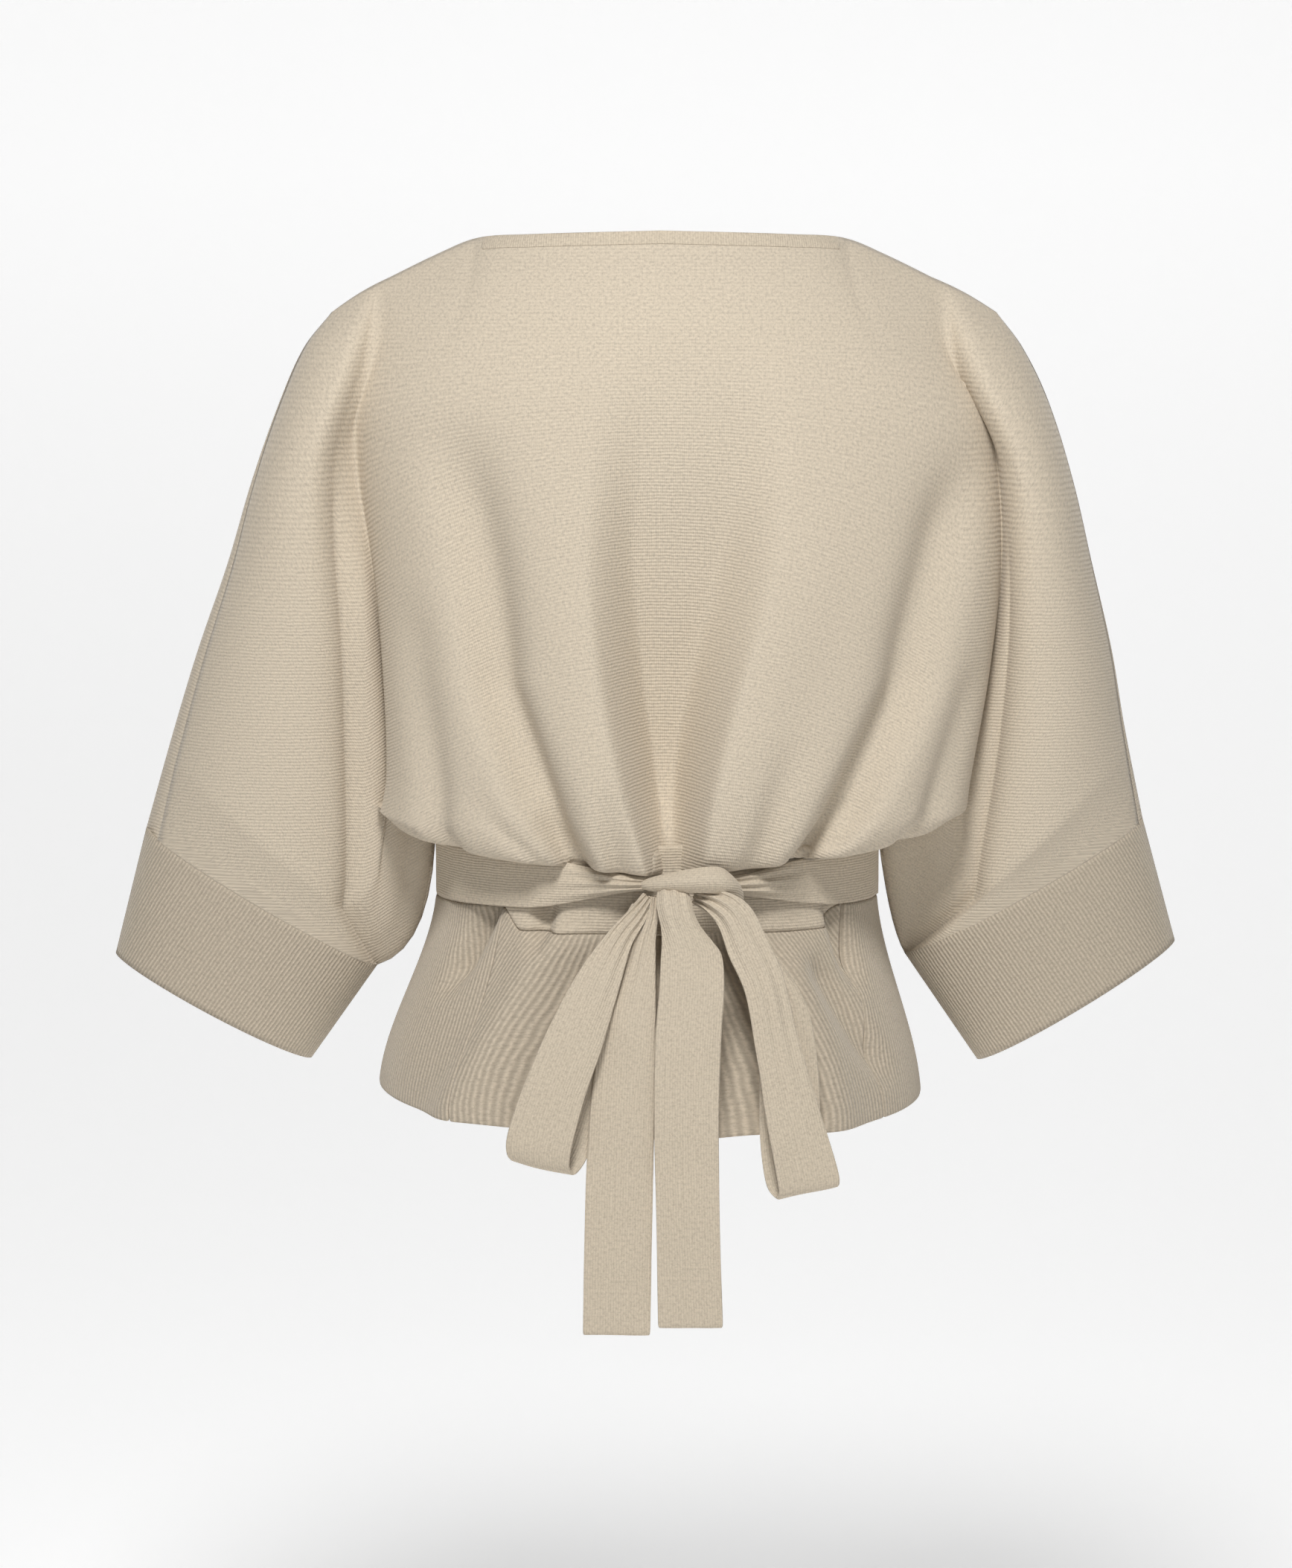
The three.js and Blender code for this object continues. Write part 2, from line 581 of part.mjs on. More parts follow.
// Columns of one front: from its own edge over the body, down the sleeve's front and round the
// outer line to the over-arm seam
function frontStations(side) {
  const seam = side < 0 ? ARM_SEAM.left : ARM_SEAM.right;
  const stations = [{ part: "body", face: 1, side, share: 0 }];
  for (let i = 0; i <= FRONT_COLUMNS; i += 1) {
    stations.push({ part: "body", face: 1, side, share: mix(TRIM_SHARE, 0.995, i / FRONT_COLUMNS) });
  }
  stations.push(...sleeveStations(1, side, 0).reverse());
  stations.push({ part: "sleeve", face: -1, side, share: seam, armSeam: -1 });
  return stations;
}

// Softens the sharp foot of the side folds by averaging each point near it with its neighbours
function softenSideFolds(grid, stations) {
  const passes = 2;
  for (let pass = 0; pass < passes; pass += 1) {
    for (const row of grid.slice(1, -1)) {
      const before = row.map((point) => point.clone());
      for (let j = 2; j < row.length - 2; j += 1) {
        const nearFold = [-2, -1, 1, 2].some((step) => stations[j + step].part !== stations[j].part);
        if (nearFold) {
          row[j].copy(before[j]).multiplyScalar(0.5)
            .addScaledVector(before[j - 1], 0.25).addScaledVector(before[j + 1], 0.25);
        }
      }
    }
  }
}

// Unit normals of a grid of points; closed grids run round a ring
function gridNormals(grid, closed) {
  const rows = grid.length;
  const columns = grid[0].length;
  return grid.map((row, i) => row.map((_, j) => {
    const left = closed ? row[(j + columns - 1) % columns] : row[Math.max(0, j - 1)];
    const right = closed ? row[(j + 1) % columns] : row[Math.min(columns - 1, j + 1)];
    const above = grid[Math.max(0, i - 1)][j];
    const below = grid[Math.min(rows - 1, i + 1)][j];
    const along = new THREE.Vector3().subVectors(right, left);
    const down = new THREE.Vector3().subVectors(below, above);
    return new THREE.Vector3().crossVectors(along, down).normalize();
  }));
}

// A closed wall between two matching grids of points
function wallBetween(outer, inner, closed = false) {
  const rows = outer.length;
  const columns = outer[0].length;
  const positions = [];
  for (const grid of [outer, inner]) {
    for (const row of grid) {
      for (const point of row) {
        positions.push(point.x, point.y, point.z);
      }
    }
  }
  const indices = [];
  const at = (layer, i, j) => layer * rows * columns + i * columns + (j % columns);
  const quad = (a, b, c, d) => indices.push(a, b, c, a, c, d);
  const lastColumn = closed ? columns : columns - 1;
  for (let i = 0; i < rows - 1; i += 1) {
    for (let j = 0; j < lastColumn; j += 1) {
      quad(at(0, i, j), at(0, i, j + 1), at(0, i + 1, j + 1), at(0, i + 1, j));
      quad(at(1, i, j), at(1, i + 1, j), at(1, i + 1, j + 1), at(1, i, j + 1));
    }
  }
  for (let j = 0; j < lastColumn; j += 1) {
    quad(at(0, 0, j), at(1, 0, j), at(1, 0, j + 1), at(0, 0, j + 1));
    quad(at(0, rows - 1, j), at(0, rows - 1, j + 1), at(1, rows - 1, j + 1), at(1, rows - 1, j));
  }
  if (!closed) {
    const end = columns - 1;
    for (let i = 0; i < rows - 1; i += 1) {
      quad(at(0, i, 0), at(0, i + 1, 0), at(1, i + 1, 0), at(1, i, 0));
      quad(at(0, i, end), at(1, i, end), at(1, i + 1, end), at(0, i + 1, end));
    }
  }
  const geometry = new THREE.BufferGeometry();
  geometry.setAttribute("position", new THREE.Float32BufferAttribute(positions, 3));
  geometry.setIndex(indices);
  if (signedVolume(geometry) < 0) {
    for (let k = 0; k < indices.length; k += 3) {
      [indices[k + 1], indices[k + 2]] = [indices[k + 2], indices[k + 1]];
    }
    geometry.setIndex(indices);
  }
  geometry.computeVertexNormals();
  return geometry;
}

function signedVolume(geometry) {
  const index = geometry.getIndex();
  const position = geometry.getAttribute("position");
  const corner = (k) => new THREE.Vector3().fromBufferAttribute(position, index.getX(k));
  let volume = 0;
  for (let k = 0; k < index.count; k += 3) {
    volume += corner(k).dot(corner(k + 1).cross(corner(k + 2)));
  }
  return volume;
}

const offsetGrid = (grid, normals, distance) => grid.map((row, i) => row.map((point, j) => (
  point.clone().addScaledVector(normals[i][j], distance)
)));

// Unit direction of a sleeve at its cuff seam, away from the shoulder
function cuffAxis(side) {
  const across = vector(cuffOf(side).seamInner).sub(armPoint(side, 1));
  return across.cross(new THREE.Vector3(0, side, 0)).normalize();
}

// Direction across the seam at a panel's upper or lower edge, or null where the edge is free
function seamDirection(station, down, outward) {
  const onSleeve = station.part === "sleeve";
  const onShoulder = down === 0 && (onSleeve || Math.abs(stationPoint(station, 0).x) >= NECK_HALF - 1);
  const onUnderarm = down === 1 && onSleeve && station.share > CUFF_SHARE;
  if (onShoulder || onUnderarm) {
    return new THREE.Vector3(0, outward, 0);
  }
  if (down === 1 && onSleeve) {
    return cuffAxis(station.side).negate();
  }
  return null;
}

// The direction along a sleeve's columns, and the normal of its cloth
function sleeveFrame(face, side, share, down) {
  const step = 0.004;
  const at = (column, row) => sleevePoint(face, side, column, clamp(row, 0, 1));
  const along = at(share + step, down).sub(at(share - step, down)).normalize();
  const below = at(share, down + step).sub(at(share, down - step)).normalize();
  const normal = new THREE.Vector3().crossVectors(along, below).multiplyScalar(-side * face).normalize();
  return { along, normal };
}

function waistNormal(point) {
  const half = point.x < 0 ? WAIST.left : WAIST.right;
  return new THREE.Vector3(point.x / half ** 2, point.y / WAIST.depth ** 2, 0).normalize();
}

// A panel of the bodice, outward -1 for the back and 1 for a front. Its edges at the seams are
// square to the seam and stop short of it. Its columns run to the right (1) or the left (-1).
function bodicePanel(stations, outward, columnsRun) {
  const rows = panelRows();
  const grid = rows.map((down) => stations.map((station) => stationPoint(station, down)));
  softenSideFolds(grid, stations);
  const sign = outward * columnsRun;
  const normals = gridNormals(grid, false).map((row) => row.map((normal) => normal.multiplyScalar(sign)));
  rows.forEach((down, i) => stations.forEach((station, j) => {
    const normal = normals[i][j];
    if (station.armSeam && down > 0) {
      const frame = sleeveFrame(station.face, station.side, stationShare(station, down), down);
      normal.copy(frame.normal);
      const gap = mix(ARM_SEAM.topGap, SEAM_GAP / 2, clamp(down / ARM_SEAM.gapLength, 0, 1));
      grid[i][j].addScaledVector(frame.along, station.armSeam * gap);
    }
    if (down === 1 && station.part === "body") {
      normal.copy(waistNormal(grid[i][j]));
      return;
    }
    const across = seamDirection(station, down, outward);
    if (!across) {
      return;
    }
    if (down === 1 && station.share === CUFF_SHARE) {
      normal.copy(vector(cuffOf(station.side).seamInner)).sub(armPoint(station.side, 1)).normalize();
      grid[i][j].y += (outward * SEAM_GAP) / 2;
    } else if (down === 1 && across.y !== 0) {
      const behind = sleeveFrame(-1, station.side, station.share, down);
      const before = sleeveFrame(1, station.side, station.share, down);
      normal.addVectors(behind.normal, before.normal);
    }
    normal.projectOnPlane(across).normalize();
    if (station.armSeam && down === 0) {
      grid[i][j].y = -SEAM_GAP * (1 + station.armSeam / 2);
    } else {
      grid[i][j].addScaledVector(across, SEAM_GAP / 2);
    }
  }));
  return { grid, normals };
}

function clothGeometry({ grid, normals }, thickness = WALL, stand = 0) {
  return wallBetween(offsetGrid(grid, normals, stand), offsetGrid(grid, normals, stand - thickness));
}

// A wall from a function of two shares. raised lifts the outer points of a column, and flat
// gives a direction that the wall's edge is square to, or null.
function clothFrom(surface, across, down, options = {}) {
  const { outward = 1, thickness = WALL, raised = () => 0, flat = () => null, closed = false } = options;
  const step = 0.002;
  const outer = [];
  const inner = [];
  for (const v of down) {
    const outerRow = [];
    const innerRow = [];
    across.forEach((u, j) => {
      const point = surface(u, v);
      const along = surface(u + step, v).sub(surface(u - step, v));
      const below = surface(u, v + step).sub(surface(u, v - step));
      const normal = along.cross(below).normalize().multiplyScalar(outward);
      const edge = flat(u, v);
      if (edge) {
        normal.projectOnPlane(edge).normalize();
      }
      outerRow.push(point.clone().addScaledVector(normal, raised(j)));
      innerRow.push(point.clone().addScaledVector(normal, -thickness));
    });
    outer.push(outerRow);
    inner.push(innerRow);
  }
  return wallBetween(outer, inner, closed);
}

const steps = (from, to, count) => Array.from({ length: count + 1 }, (_, i) => mix(from, to, i / count));
const rib = (column) => (column % 2 === 0 ? RIB_HEIGHT : 0);

// Angles of an ellipse, in degrees, that divide its edge evenly
function evenAngles(halfWidth, halfDepth, count) {
  const samples = 720;
  const lengths = [0];
  for (let i = 1; i <= samples; i += 1) {
    const angle = radians((360 * (i - 0.5)) / samples);
    lengths.push(lengths[i - 1] + Math.hypot(halfWidth * Math.sin(angle), halfDepth * Math.cos(angle)));
  }
  const angles = [];
  let i = 0;
  for (let k = 0; k < count; k += 1) {
    const target = (lengths[samples] * k) / count;
    while (lengths[i + 1] < target) {
      i += 1;
    }
    angles.push((360 * (i + (target - lengths[i]) / (lengths[i + 1] - lengths[i]))) / samples);
  }
  return angles;
}

// A ribbed cuff: a tube from the cuff seam to the open end of the sleeve
function cuffGeometry(side) {
  const cuff = cuffOf(side);
  const start = cuffAxis(side).multiplyScalar(SEAM_GAP / 2);
  const seamOuter = armPoint(side, 1).add(start);
  const seamInner = vector(cuff.seamInner).add(start);
  const halfWidth = seamOuter.distanceTo(seamInner) / 2;
  const surface = (degrees, share) => {
    const seam = ringPoint(seamOuter, seamInner, -CUFF_DEPTH.seam, degrees);
    const end = ringPoint(vector(cuff.endOuter), vector(cuff.endInner), -CUFF_DEPTH.end, degrees);
    return seam.lerp(end, share);
  };
  const angles = evenAngles(halfWidth, CUFF_DEPTH.seam, CUFF_RIBS * 2);
  const axis = cuffAxis(side);
  return clothFrom(surface, angles, [0, 1], { outward: side, raised: rib, flat: () => axis, closed: true });
}

// Depth of the creases and ridges of the peplum
function peplumFolds(folds, angle, share) {
  let offset = 0;
  for (const fold of folds) {
    const run = clamp((share - fold.from) / (fold.to - fold.from), 0, 1);
    const fade = ease((share - fold.from) / 0.2) * (1 - ease((run - 0.7) / 0.3));
    offset += fold.depth * fade * bell((angle - mix(fold.top, fold.bottom, run)) / fold.width);
  }
  return offset;
}

// A point of the waistband and peplum. Degrees run from the centre back, through the right side
// at 90 and the centre front at 180; share is 0 at the side band's lower edge and 1 at the hem.
function skirtPoint(degrees, share, stand) {
  const angle = radians(degrees);
  const onLeft = Math.sin(angle) < 0;
  const frontShare = ease((Math.abs(degrees) - 75) / 30);
  const fromFront = degrees > 0 ? 180 - degrees : -180 - degrees;
  const folds = mix(
    peplumFolds(BACK_PEPLUM_FOLDS, degrees, share),
    peplumFolds(FRONT_PEPLUM_FOLDS, fromFront, share),
    frontShare,
  );
  const flare = share < 0 ? 0 : 0.3 * share + 0.7 * ease(share);
  const half = onLeft ? mix(WAIST.left, HEM.left, flare) : mix(WAIST.right, HEM.right, flare);
  const drop = Math.cos(angle) > 0 ? HEM.backDrop : HEM.frontDrop;
  const top = WAIST.z - SIDE_BAND_HEIGHT;
  const hem = HEM.sideZ - drop * Math.abs(Math.cos(angle)) - HEM.rightDrop * Math.sin(angle);
  const out = stand + folds;
  return new THREE.Vector3(
    (half + out) * Math.sin(angle),
    -(mix(WAIST.depth, HEM.depth, flare) + out) * Math.cos(angle),
    share < 0 ? mix(top, HEM.sideZ, share) : mix(top, hem, share),
  );
}

// How far a front band or peplum stands off at one angle, as its front panel does above it
function frontStand(side, degrees) {
  if (side < 0) {
    return 0;
  }
  const across = (180 - degrees) / 90;
  return across > 1 ? 0 : overlapLift(across, 1);
}

const PEPLUM_LENGTH = WAIST.z - SIDE_BAND_HEIGHT - HEM.sideZ;
const bandShare = (z) => (WAIST.z - SIDE_BAND_HEIGHT - z) / PEPLUM_LENGTH;
const SEAM_DEGREES = 0.08;
const BACK_SPAN = { from: SIDE_SEAM.left + SEAM_DEGREES, to: SIDE_SEAM.right - SEAM_DEGREES };
const frontEnd = 180 - read(SECTIONS, "down", 1, "frontEdge") * 90;
const frontSpan = (side) => (side > 0
  ? { from: SIDE_SEAM.right + SEAM_DEGREES, to: frontEnd }
  : { from: SIDE_SEAM.left - SEAM_DEGREES, to: -frontEnd });

// A wall of the waistband or peplum, square to its side seams and its upper and lower seams
function skirtGeometry(span, side, count, rows, raised) {
  const surface = (degrees, share) => skirtPoint(degrees, share, frontStand(side, degrees));
  const flat = (degrees, share) => {
    if (degrees === span.from || degrees === span.to) {
      return new THREE.Vector3(Math.cos(radians(degrees)), Math.sin(radians(degrees)), 0);
    }
    return share === rows[0] || share === rows[rows.length - 1] ? new THREE.Vector3(0, 0, 1) : null;
  };
  return clothFrom(surface, steps(span.from, span.to, count), rows, { outward: -1, raised, flat });
}

function bandGeometry(span, side, height) {
  const count = Math.round(Math.abs(span.to - span.from) / BAND_STEP);
  const top = bandShare(WAIST.z - SEAM_GAP);
  const bottom = bandShare(WAIST.z - height + SEAM_GAP / 2);
  const rows = height > SIDE_BAND_HEIGHT ? [top, -0.05, bottom] : [top, bottom];
  return skirtGeometry(span, side, count, rows, () => 0);
}

function peplumGeometry(span, side, bandHeight, rows) {
  const ribs = Math.round(Math.abs(span.to - span.from) / PEPLUM_RIB_DEGREES);
  const top = bandShare(WAIST.z - bandHeight - SEAM_GAP);
  return skirtGeometry(span, side, ribs * 2, [top, ...rows], rib);
}

// A strip of the tie along rows of places, widths and turns
function ribbonGeometry(rows, columns = 2) {
  const numbered = rows.map((row, at) => ({ ...row, at }));
  const surface = (across, at) => {
    const value = (column) => read(numbered, "at", at, column);
    const tilt = radians(value("tilt"));
    const turn = radians(value("turn"));
    const side = new THREE.Vector3(
      Math.cos(tilt) * Math.cos(turn),
      Math.sin(turn),
      Math.sin(tilt) * Math.cos(turn),
    );
    const place = (row) => vector(["x", "y", "z"].map((axis) => read(numbered, "at", row, axis)));
    const along = place(Math.min(at + 0.05, rows.length - 1)).sub(place(Math.max(at - 0.05, 0)));
    const out = along.cross(side).normalize();
    return place(at)
      .addScaledVector(side, (across * value("width")) / 2)
      .addScaledVector(out, value("camber") * (1 - across * across));
  };
  const last = rows.length - 1;
  return clothFrom(surface, steps(-1, 1, columns), steps(0, last, last * RIBBON_STEPS), { outward: -1 });
}

// Rows of a tie stretch, which lies on the back waistband
const stretchRows = (rows) => rows.map((row) => {
  const angle = radians(row.angle);
  const half = row.angle < 0 ? WAIST.left : WAIST.right;
  const stand = WALL + TIE_STAND + row.away;
  return {
    x: (half + stand) * Math.sin(angle),
    y: -(WAIST.depth + stand) * Math.cos(angle),
    z: row.z,
    width: row.width,
    tilt: row.angle < 0 ? 90 : -90,
    turn: 0,
    camber: row.camber,
  };
});

// Narrow trim on the edge of a panel, made from the panel's own points moved out
function trimGeometry({ grid, normals }, rows, columns) {
  const pick = (table) => rows.map((i) => columns.map((j) => table[i][j]));
  const points = pick(grid);
  const directions = pick(normals);
  return wallBetween(
    offsetGrid(points, directions, SEAM_GAP + TRIM_THICKNESS),
    offsetGrid(points, directions, SEAM_GAP),
  );
}

const group = new THREE.Group();

function addPiece(name, geometry, colour, roughness = 0.95) {
  const material = new THREE.MeshStandardMaterial({ color: colour, roughness, metalness: 0 });
  const mesh = new THREE.Mesh(geometry, material);
  mesh.name = name;
  group.add(mesh);
}

function buildBodice() {
  const back = bodicePanel(backStations(), -1, 1);
  const right = bodicePanel(frontStations(1), 1, 1);
  const left = bodicePanel(frontStations(-1), 1, -1);
  addPiece("back_panel", clothGeometry(back), COLOURS.knit);
  addPiece("front_panel_right", clothGeometry(right), COLOURS.knit);
  addPiece("front_panel_left", clothGeometry(left), COLOURS.knit);
  const trimRows = back.grid.map((_, i) => i).slice(0, -1);
  const neckColumns = back.grid[0].map((_, j) => j).filter((j) => Math.abs(back.grid[0][j].x) < NECK_HALF);
  addPiece("neck_trim", trimGeometry(back, [0, 1], neckColumns), COLOURS.trim);
  addPiece("front_trim_right", trimGeometry(right, trimRows, [0, 1]), COLOURS.trim);
  addPiece("front_trim_left", trimGeometry(left, trimRows, [0, 1]), COLOURS.trim);
  addPiece("cuff_left", cuffGeometry(-1), COLOURS.rib);
  addPiece("cuff_right", cuffGeometry(1), COLOURS.rib);
}

function buildWaist() {
  addPiece("waistband_back", bandGeometry(BACK_SPAN, 1, BACK_BAND_HEIGHT), COLOURS.tie);
  addPiece("waistband_right", bandGeometry(frontSpan(1), 1, SIDE_BAND_HEIGHT), COLOURS.tie);
  addPiece("waistband_left", bandGeometry(frontSpan(-1), -1, SIDE_BAND_HEIGHT), COLOURS.tie);
  addPiece("peplum_back", peplumGeometry(BACK_SPAN, 1, BACK_BAND_HEIGHT, [0.36, 0.68, 1]), COLOURS.rib);
  addPiece("peplum_right", peplumGeometry(frontSpan(1), 1, SIDE_BAND_HEIGHT, [0.5, 1]), COLOURS.rib);
  addPiece("peplum_left", peplumGeometry(frontSpan(-1), -1, SIDE_BAND_HEIGHT, [0.5, 1]), COLOURS.rib);
}

function buildBow() {
  addPiece("tie_left", ribbonGeometry(stretchRows(STRETCHES.left)), COLOURS.tie);
  addPiece("tie_right", ribbonGeometry(stretchRows(STRETCHES.right)), COLOURS.tie);
  addPiece("bow_knot", ribbonGeometry(KNOT, 4), COLOURS.tie);
  addPiece("bow_loop_left", ribbonGeometry(LEFT_LOOP), COLOURS.tie);
  addPiece("bow_loop_right", ribbonGeometry(RIGHT_LOOP), COLOURS.tie);
  addPiece("tail_left", ribbonGeometry(LEFT_TAIL), COLOURS.tie);
  addPiece("tail_right", ribbonGeometry(RIGHT_TAIL), COLOURS.tie);
}

buildBodice();
buildWaist();
buildBow();

export default group;
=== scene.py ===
# Wrap cardigan in fine knit, filled out as if worn, with its tie knotted at the back.
# Places and lengths are in millimetres in the tables and in the functions of the form, and in
# metres in the meshes, the floor, the lights and the camera. "down" runs from 0 at the shoulders to
# 1 at the waist, and "across" from -1 at the left side to 1 at the right side.
import math
from functools import lru_cache

import bpy
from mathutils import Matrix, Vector, noise


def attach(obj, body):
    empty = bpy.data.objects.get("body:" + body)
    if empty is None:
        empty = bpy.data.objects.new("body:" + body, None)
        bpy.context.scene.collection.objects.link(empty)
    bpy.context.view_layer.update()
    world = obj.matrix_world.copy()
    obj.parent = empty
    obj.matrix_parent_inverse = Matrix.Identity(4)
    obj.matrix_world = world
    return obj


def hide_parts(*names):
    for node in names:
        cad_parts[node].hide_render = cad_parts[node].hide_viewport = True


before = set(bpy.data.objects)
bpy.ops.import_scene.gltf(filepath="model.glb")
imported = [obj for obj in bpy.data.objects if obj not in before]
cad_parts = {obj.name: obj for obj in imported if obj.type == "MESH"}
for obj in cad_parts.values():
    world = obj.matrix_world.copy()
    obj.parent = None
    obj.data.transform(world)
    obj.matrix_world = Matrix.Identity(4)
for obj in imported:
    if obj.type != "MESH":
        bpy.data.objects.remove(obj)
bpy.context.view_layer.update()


def table(columns, *rows):
    """Rows of a table, each as a dictionary with the columns' names."""
    return [dict(zip(columns, row)) for row in rows]


MM = 0.001
WALL = 2.0
NECK_HALF = 112
NECK_BACK = 50
SHOULDER_HALF = 165
SIDE_BAND_HEIGHT = 40
BACK_BAND_HEIGHT = 52
BAND_STEP_RUN = 7
HANG_RISE = 27
CUFF_SHARE = 0.8
OVERLAP_LIFT = 5.6
OVERLAP_FADE = 0.3
COVER_START = -0.74
COVER_FADE = 0.14
TIE_STAND = 1.2
TIE_WALL = 2.4

SHOULDER_LINE = [
    {"out": 0, "z": -2},
    {"out": 80, "z": -4},
    {"out": 112, "z": -6},
    {"out": 135, "z": -15},
    {"out": 172, "z": -33},
    {"out": 190, "z": -42},
    {"out": 201, "z": -51},
]
WAIST = {"left": 139, "right": 134, "depth": 88, "z": -369}
HEM = {
    "left": 175, "right": 162, "depth": 126,
    "side_z": -529, "back_drop": 11, "front_drop": 9, "right_drop": 3,
}
SIDE_SEAM = {"left": -44, "right": 57}

# Level sections of the body: half widths, how far the sides curl in (degrees), the wrap's edge as a
# share across, and how deep the back and front are, with the lip where the cloth hangs over
SECTION_COLUMNS = (
    "down", "z", "left", "right", "curl", "front_edge",
    "back_depth", "back_lip", "front_depth", "front_lip",
)
SECTIONS = table(
    SECTION_COLUMNS,
    (0, 0, 190, 190, -30, 0.68, 50, 0, 40, 0),
    (0.08, -28, 192, 194, -28, 0.58, 76, 0, 58, 0),
    (0.2, -78, 196, 204, -22, 0.34, 92, 0, 80, 0),
    (0.35, -140, 188, 208, -10, 0.15, 97, 6, 98, 6),
    (0.5, -205, 176, 208, -2, 0.02, 95, 14, 103, 13),
    (0.65, -270, 170, 201, 5, -0.115, 94, 20, 97, 18),
    (0.8, -333, 168, 190, 9, -0.255, 93, 24, 88, 22),
    (0.88, -364, 172, 185, 8, -0.33, 90, 24, 82, 22),
    (0.93, -382, 166, 175, 6, -0.385, 87, 22, 80, 20),
    (0.96, -384, 156, 160, 4, -0.43, 85, 16, 81, 14),
    (0.985, -374, 146, 142, 1, -0.5, 88, 8, 87, 7),
    (1, -369, 139, 134, 0, -0.545, 88, 0, 88, 0),
)

# Where the cloth hangs over the waist
HANG = {"from": 0.84, "full": 0.93, "until": 0.96}

# The left front is tucked under the right one: how much smaller it is there
COVERED_COLUMNS = ("down", "z", "shrink")
COVERED_FRONT = table(
    COVERED_COLUMNS,
    (0.8, -333, 0),
    (0.88, -351, 6),
    (0.93, -360, 9),
    (0.96, -364, 6),
    (0.985, -367.5, 3),
    (1, -369, 0),
)

# The outer edge of the sleeves, and how far they puff out
ARM_COLUMNS = ("down", "left_x", "left_z", "right_x", "right_z", "y", "puff")
ARM_LINE = table(
    ARM_COLUMNS,
    (0, -201, -51, 205, -51, 0, 0),
    (0.08, -218, -72, 221, -72, 2, 18),
    (0.2, -233, -104, 237, -104, 4, 30),
    (0.35, -251, -153, 253, -153, 6, 34),
    (0.5, -267, -205, 266, -205, 9, 30),
    (0.65, -286, -258, 279, -258, 13, 24),
    (0.8, -302, -308, 288, -306, 18, 16),
    (1, -321, -372, 301, -366, 24, 0),
)

CUFFS = {
    "left": {
        "seam_inner": [-177, 20, -457],
        "end_outer": [-342, 35, -451],
        "end_inner": [-219, 30, -517],
        "underarm_bend": [-142, 12, -446],
    },
    "right": {
        "seam_inner": [153, 20, -450],
        "end_outer": [323, 35, -443],
        "end_inner": [199, 30, -518],
        "underarm_bend": [142, 12, -432],
    },
}
CUFF_DEPTH = {"seam": 42, "end": 38}
UNDERARM = {"round": 6, "rise": 0.13, "from": 0.5, "at": 0.82, "reach": 0.1}
ARM_SEAM = {"left": 0.13, "right": 0.08, "from": 0.35}

# The sunken centre of the back between two ridges: its sides in degrees, and its depth
HOLLOW_COLUMNS = ("down", "left", "right", "depth", "ramp", "ridge")
CENTRE_HOLLOW = table(
    HOLLOW_COLUMNS,
    (0.15, -14, 25, 0, 14, 0),
    (0.35, -14.5, 22.5, 7, 10, 1),
    (0.5, -14.5, 19, 15, 8, 3),
    (0.65, -12, 13.5, 23, 7, 4),
    (0.8, -7.5, 9.5, 26, 6, 5),
    (0.93, -3, 8, 14, 5, 2),
    (1, -2, 8, 12, 5, 0),
)

# Long folds, by degrees from the middle of the back or front at three heights, wide and shallow at
# the top, narrow and deep at the waist
FOLD_PATH = {"high": 0.3, "middle": 0.65, "low": 0.92}
FOLD_COLUMNS = ("name", "high", "middle", "low", "from", "wide", "narrow", "shallow", "deep")
BACK_FOLDS = table(
    FOLD_COLUMNS,
    ("left long", -40, -36, -19, 0.25, 9, 4, 4, 12),
    ("left outer", -62, -60, -52, 0.5, 9, 5, 1, 5),
    ("left gather", -14, -12, -9, 0.78, 4, 3, 0, 4),
    ("right long", 60, 49, 31, 0.3, 10, 4, 5, 11),
    ("right inner", 30, 26, 18, 0.7, 5, 3.5, 0, 4),
    ("right outer", 72, 70, 60, 0.6, 8, 5, 1, 5),
)
FRONT_FOLDS = table(
    FOLD_COLUMNS,
    ("left side", -66, -60, -52, 0.35, 10, 5, 3, 9),
    ("left middle", -42, -38, -30, 0.6, 8, 4, 2, 6),
    ("left gather", -12, -12, -11, 0.8, 5, 4, 0, 4),
    ("right gather", 10, 10, 9, 0.78, 5, 4, 0, 4),
    ("right middle", 40, 36, 28, 0.55, 8, 4, 2, 7),
    ("right side", 66, 62, 50, 0.4, 10, 5, 3, 9),
)

# Folds of the peplum, by degrees at their top and bottom; shares of the peplum's length. Each comes
# in over a share of the length and goes out over the last part of its own.
PEPLUM_FADE = {"in": 0.2, "out_from": 0.7}
PEPLUM_COLUMNS = ("name", "top", "bottom", "from", "to", "width", "depth")
BACK_PEPLUM_FOLDS = table(
    PEPLUM_COLUMNS,
    ("left crease", -45, -60, -0.2, 0.5, 4, -8),
    ("left pleat", -30, -31, -0.2, 0.25, 3, -7),
    ("left ridge", -25, -52, 0, 1.3, 7, 7),
    ("left hollow", -8, -28, 0.1, 1.3, 8, -6),
    ("right hollow", 14, 22, 0, 1.3, 9, -7),
    ("right ridge", 33, 42, 0.1, 1.3, 8, 6),
    ("right valley", 38, 62, 0.15, 0.9, 5, -6),
    ("right crease", 50, 58, -0.2, 0.45, 4, -7),
)
FRONT_PEPLUM_FOLDS = table(
    PEPLUM_COLUMNS,
    ("left wave", -60, -64, 0.1, 1.4, 12, 6),
    ("left hollow", -30, -34, 0.1, 1.4, 11, -6),
    ("middle wave", 2, -2, 0.1, 1.4, 13, 5),
    ("right hollow", 32, 36, 0.1, 1.4, 11, -6),
    ("right wave", 62, 66, 0.1, 1.4, 12, 6),
)

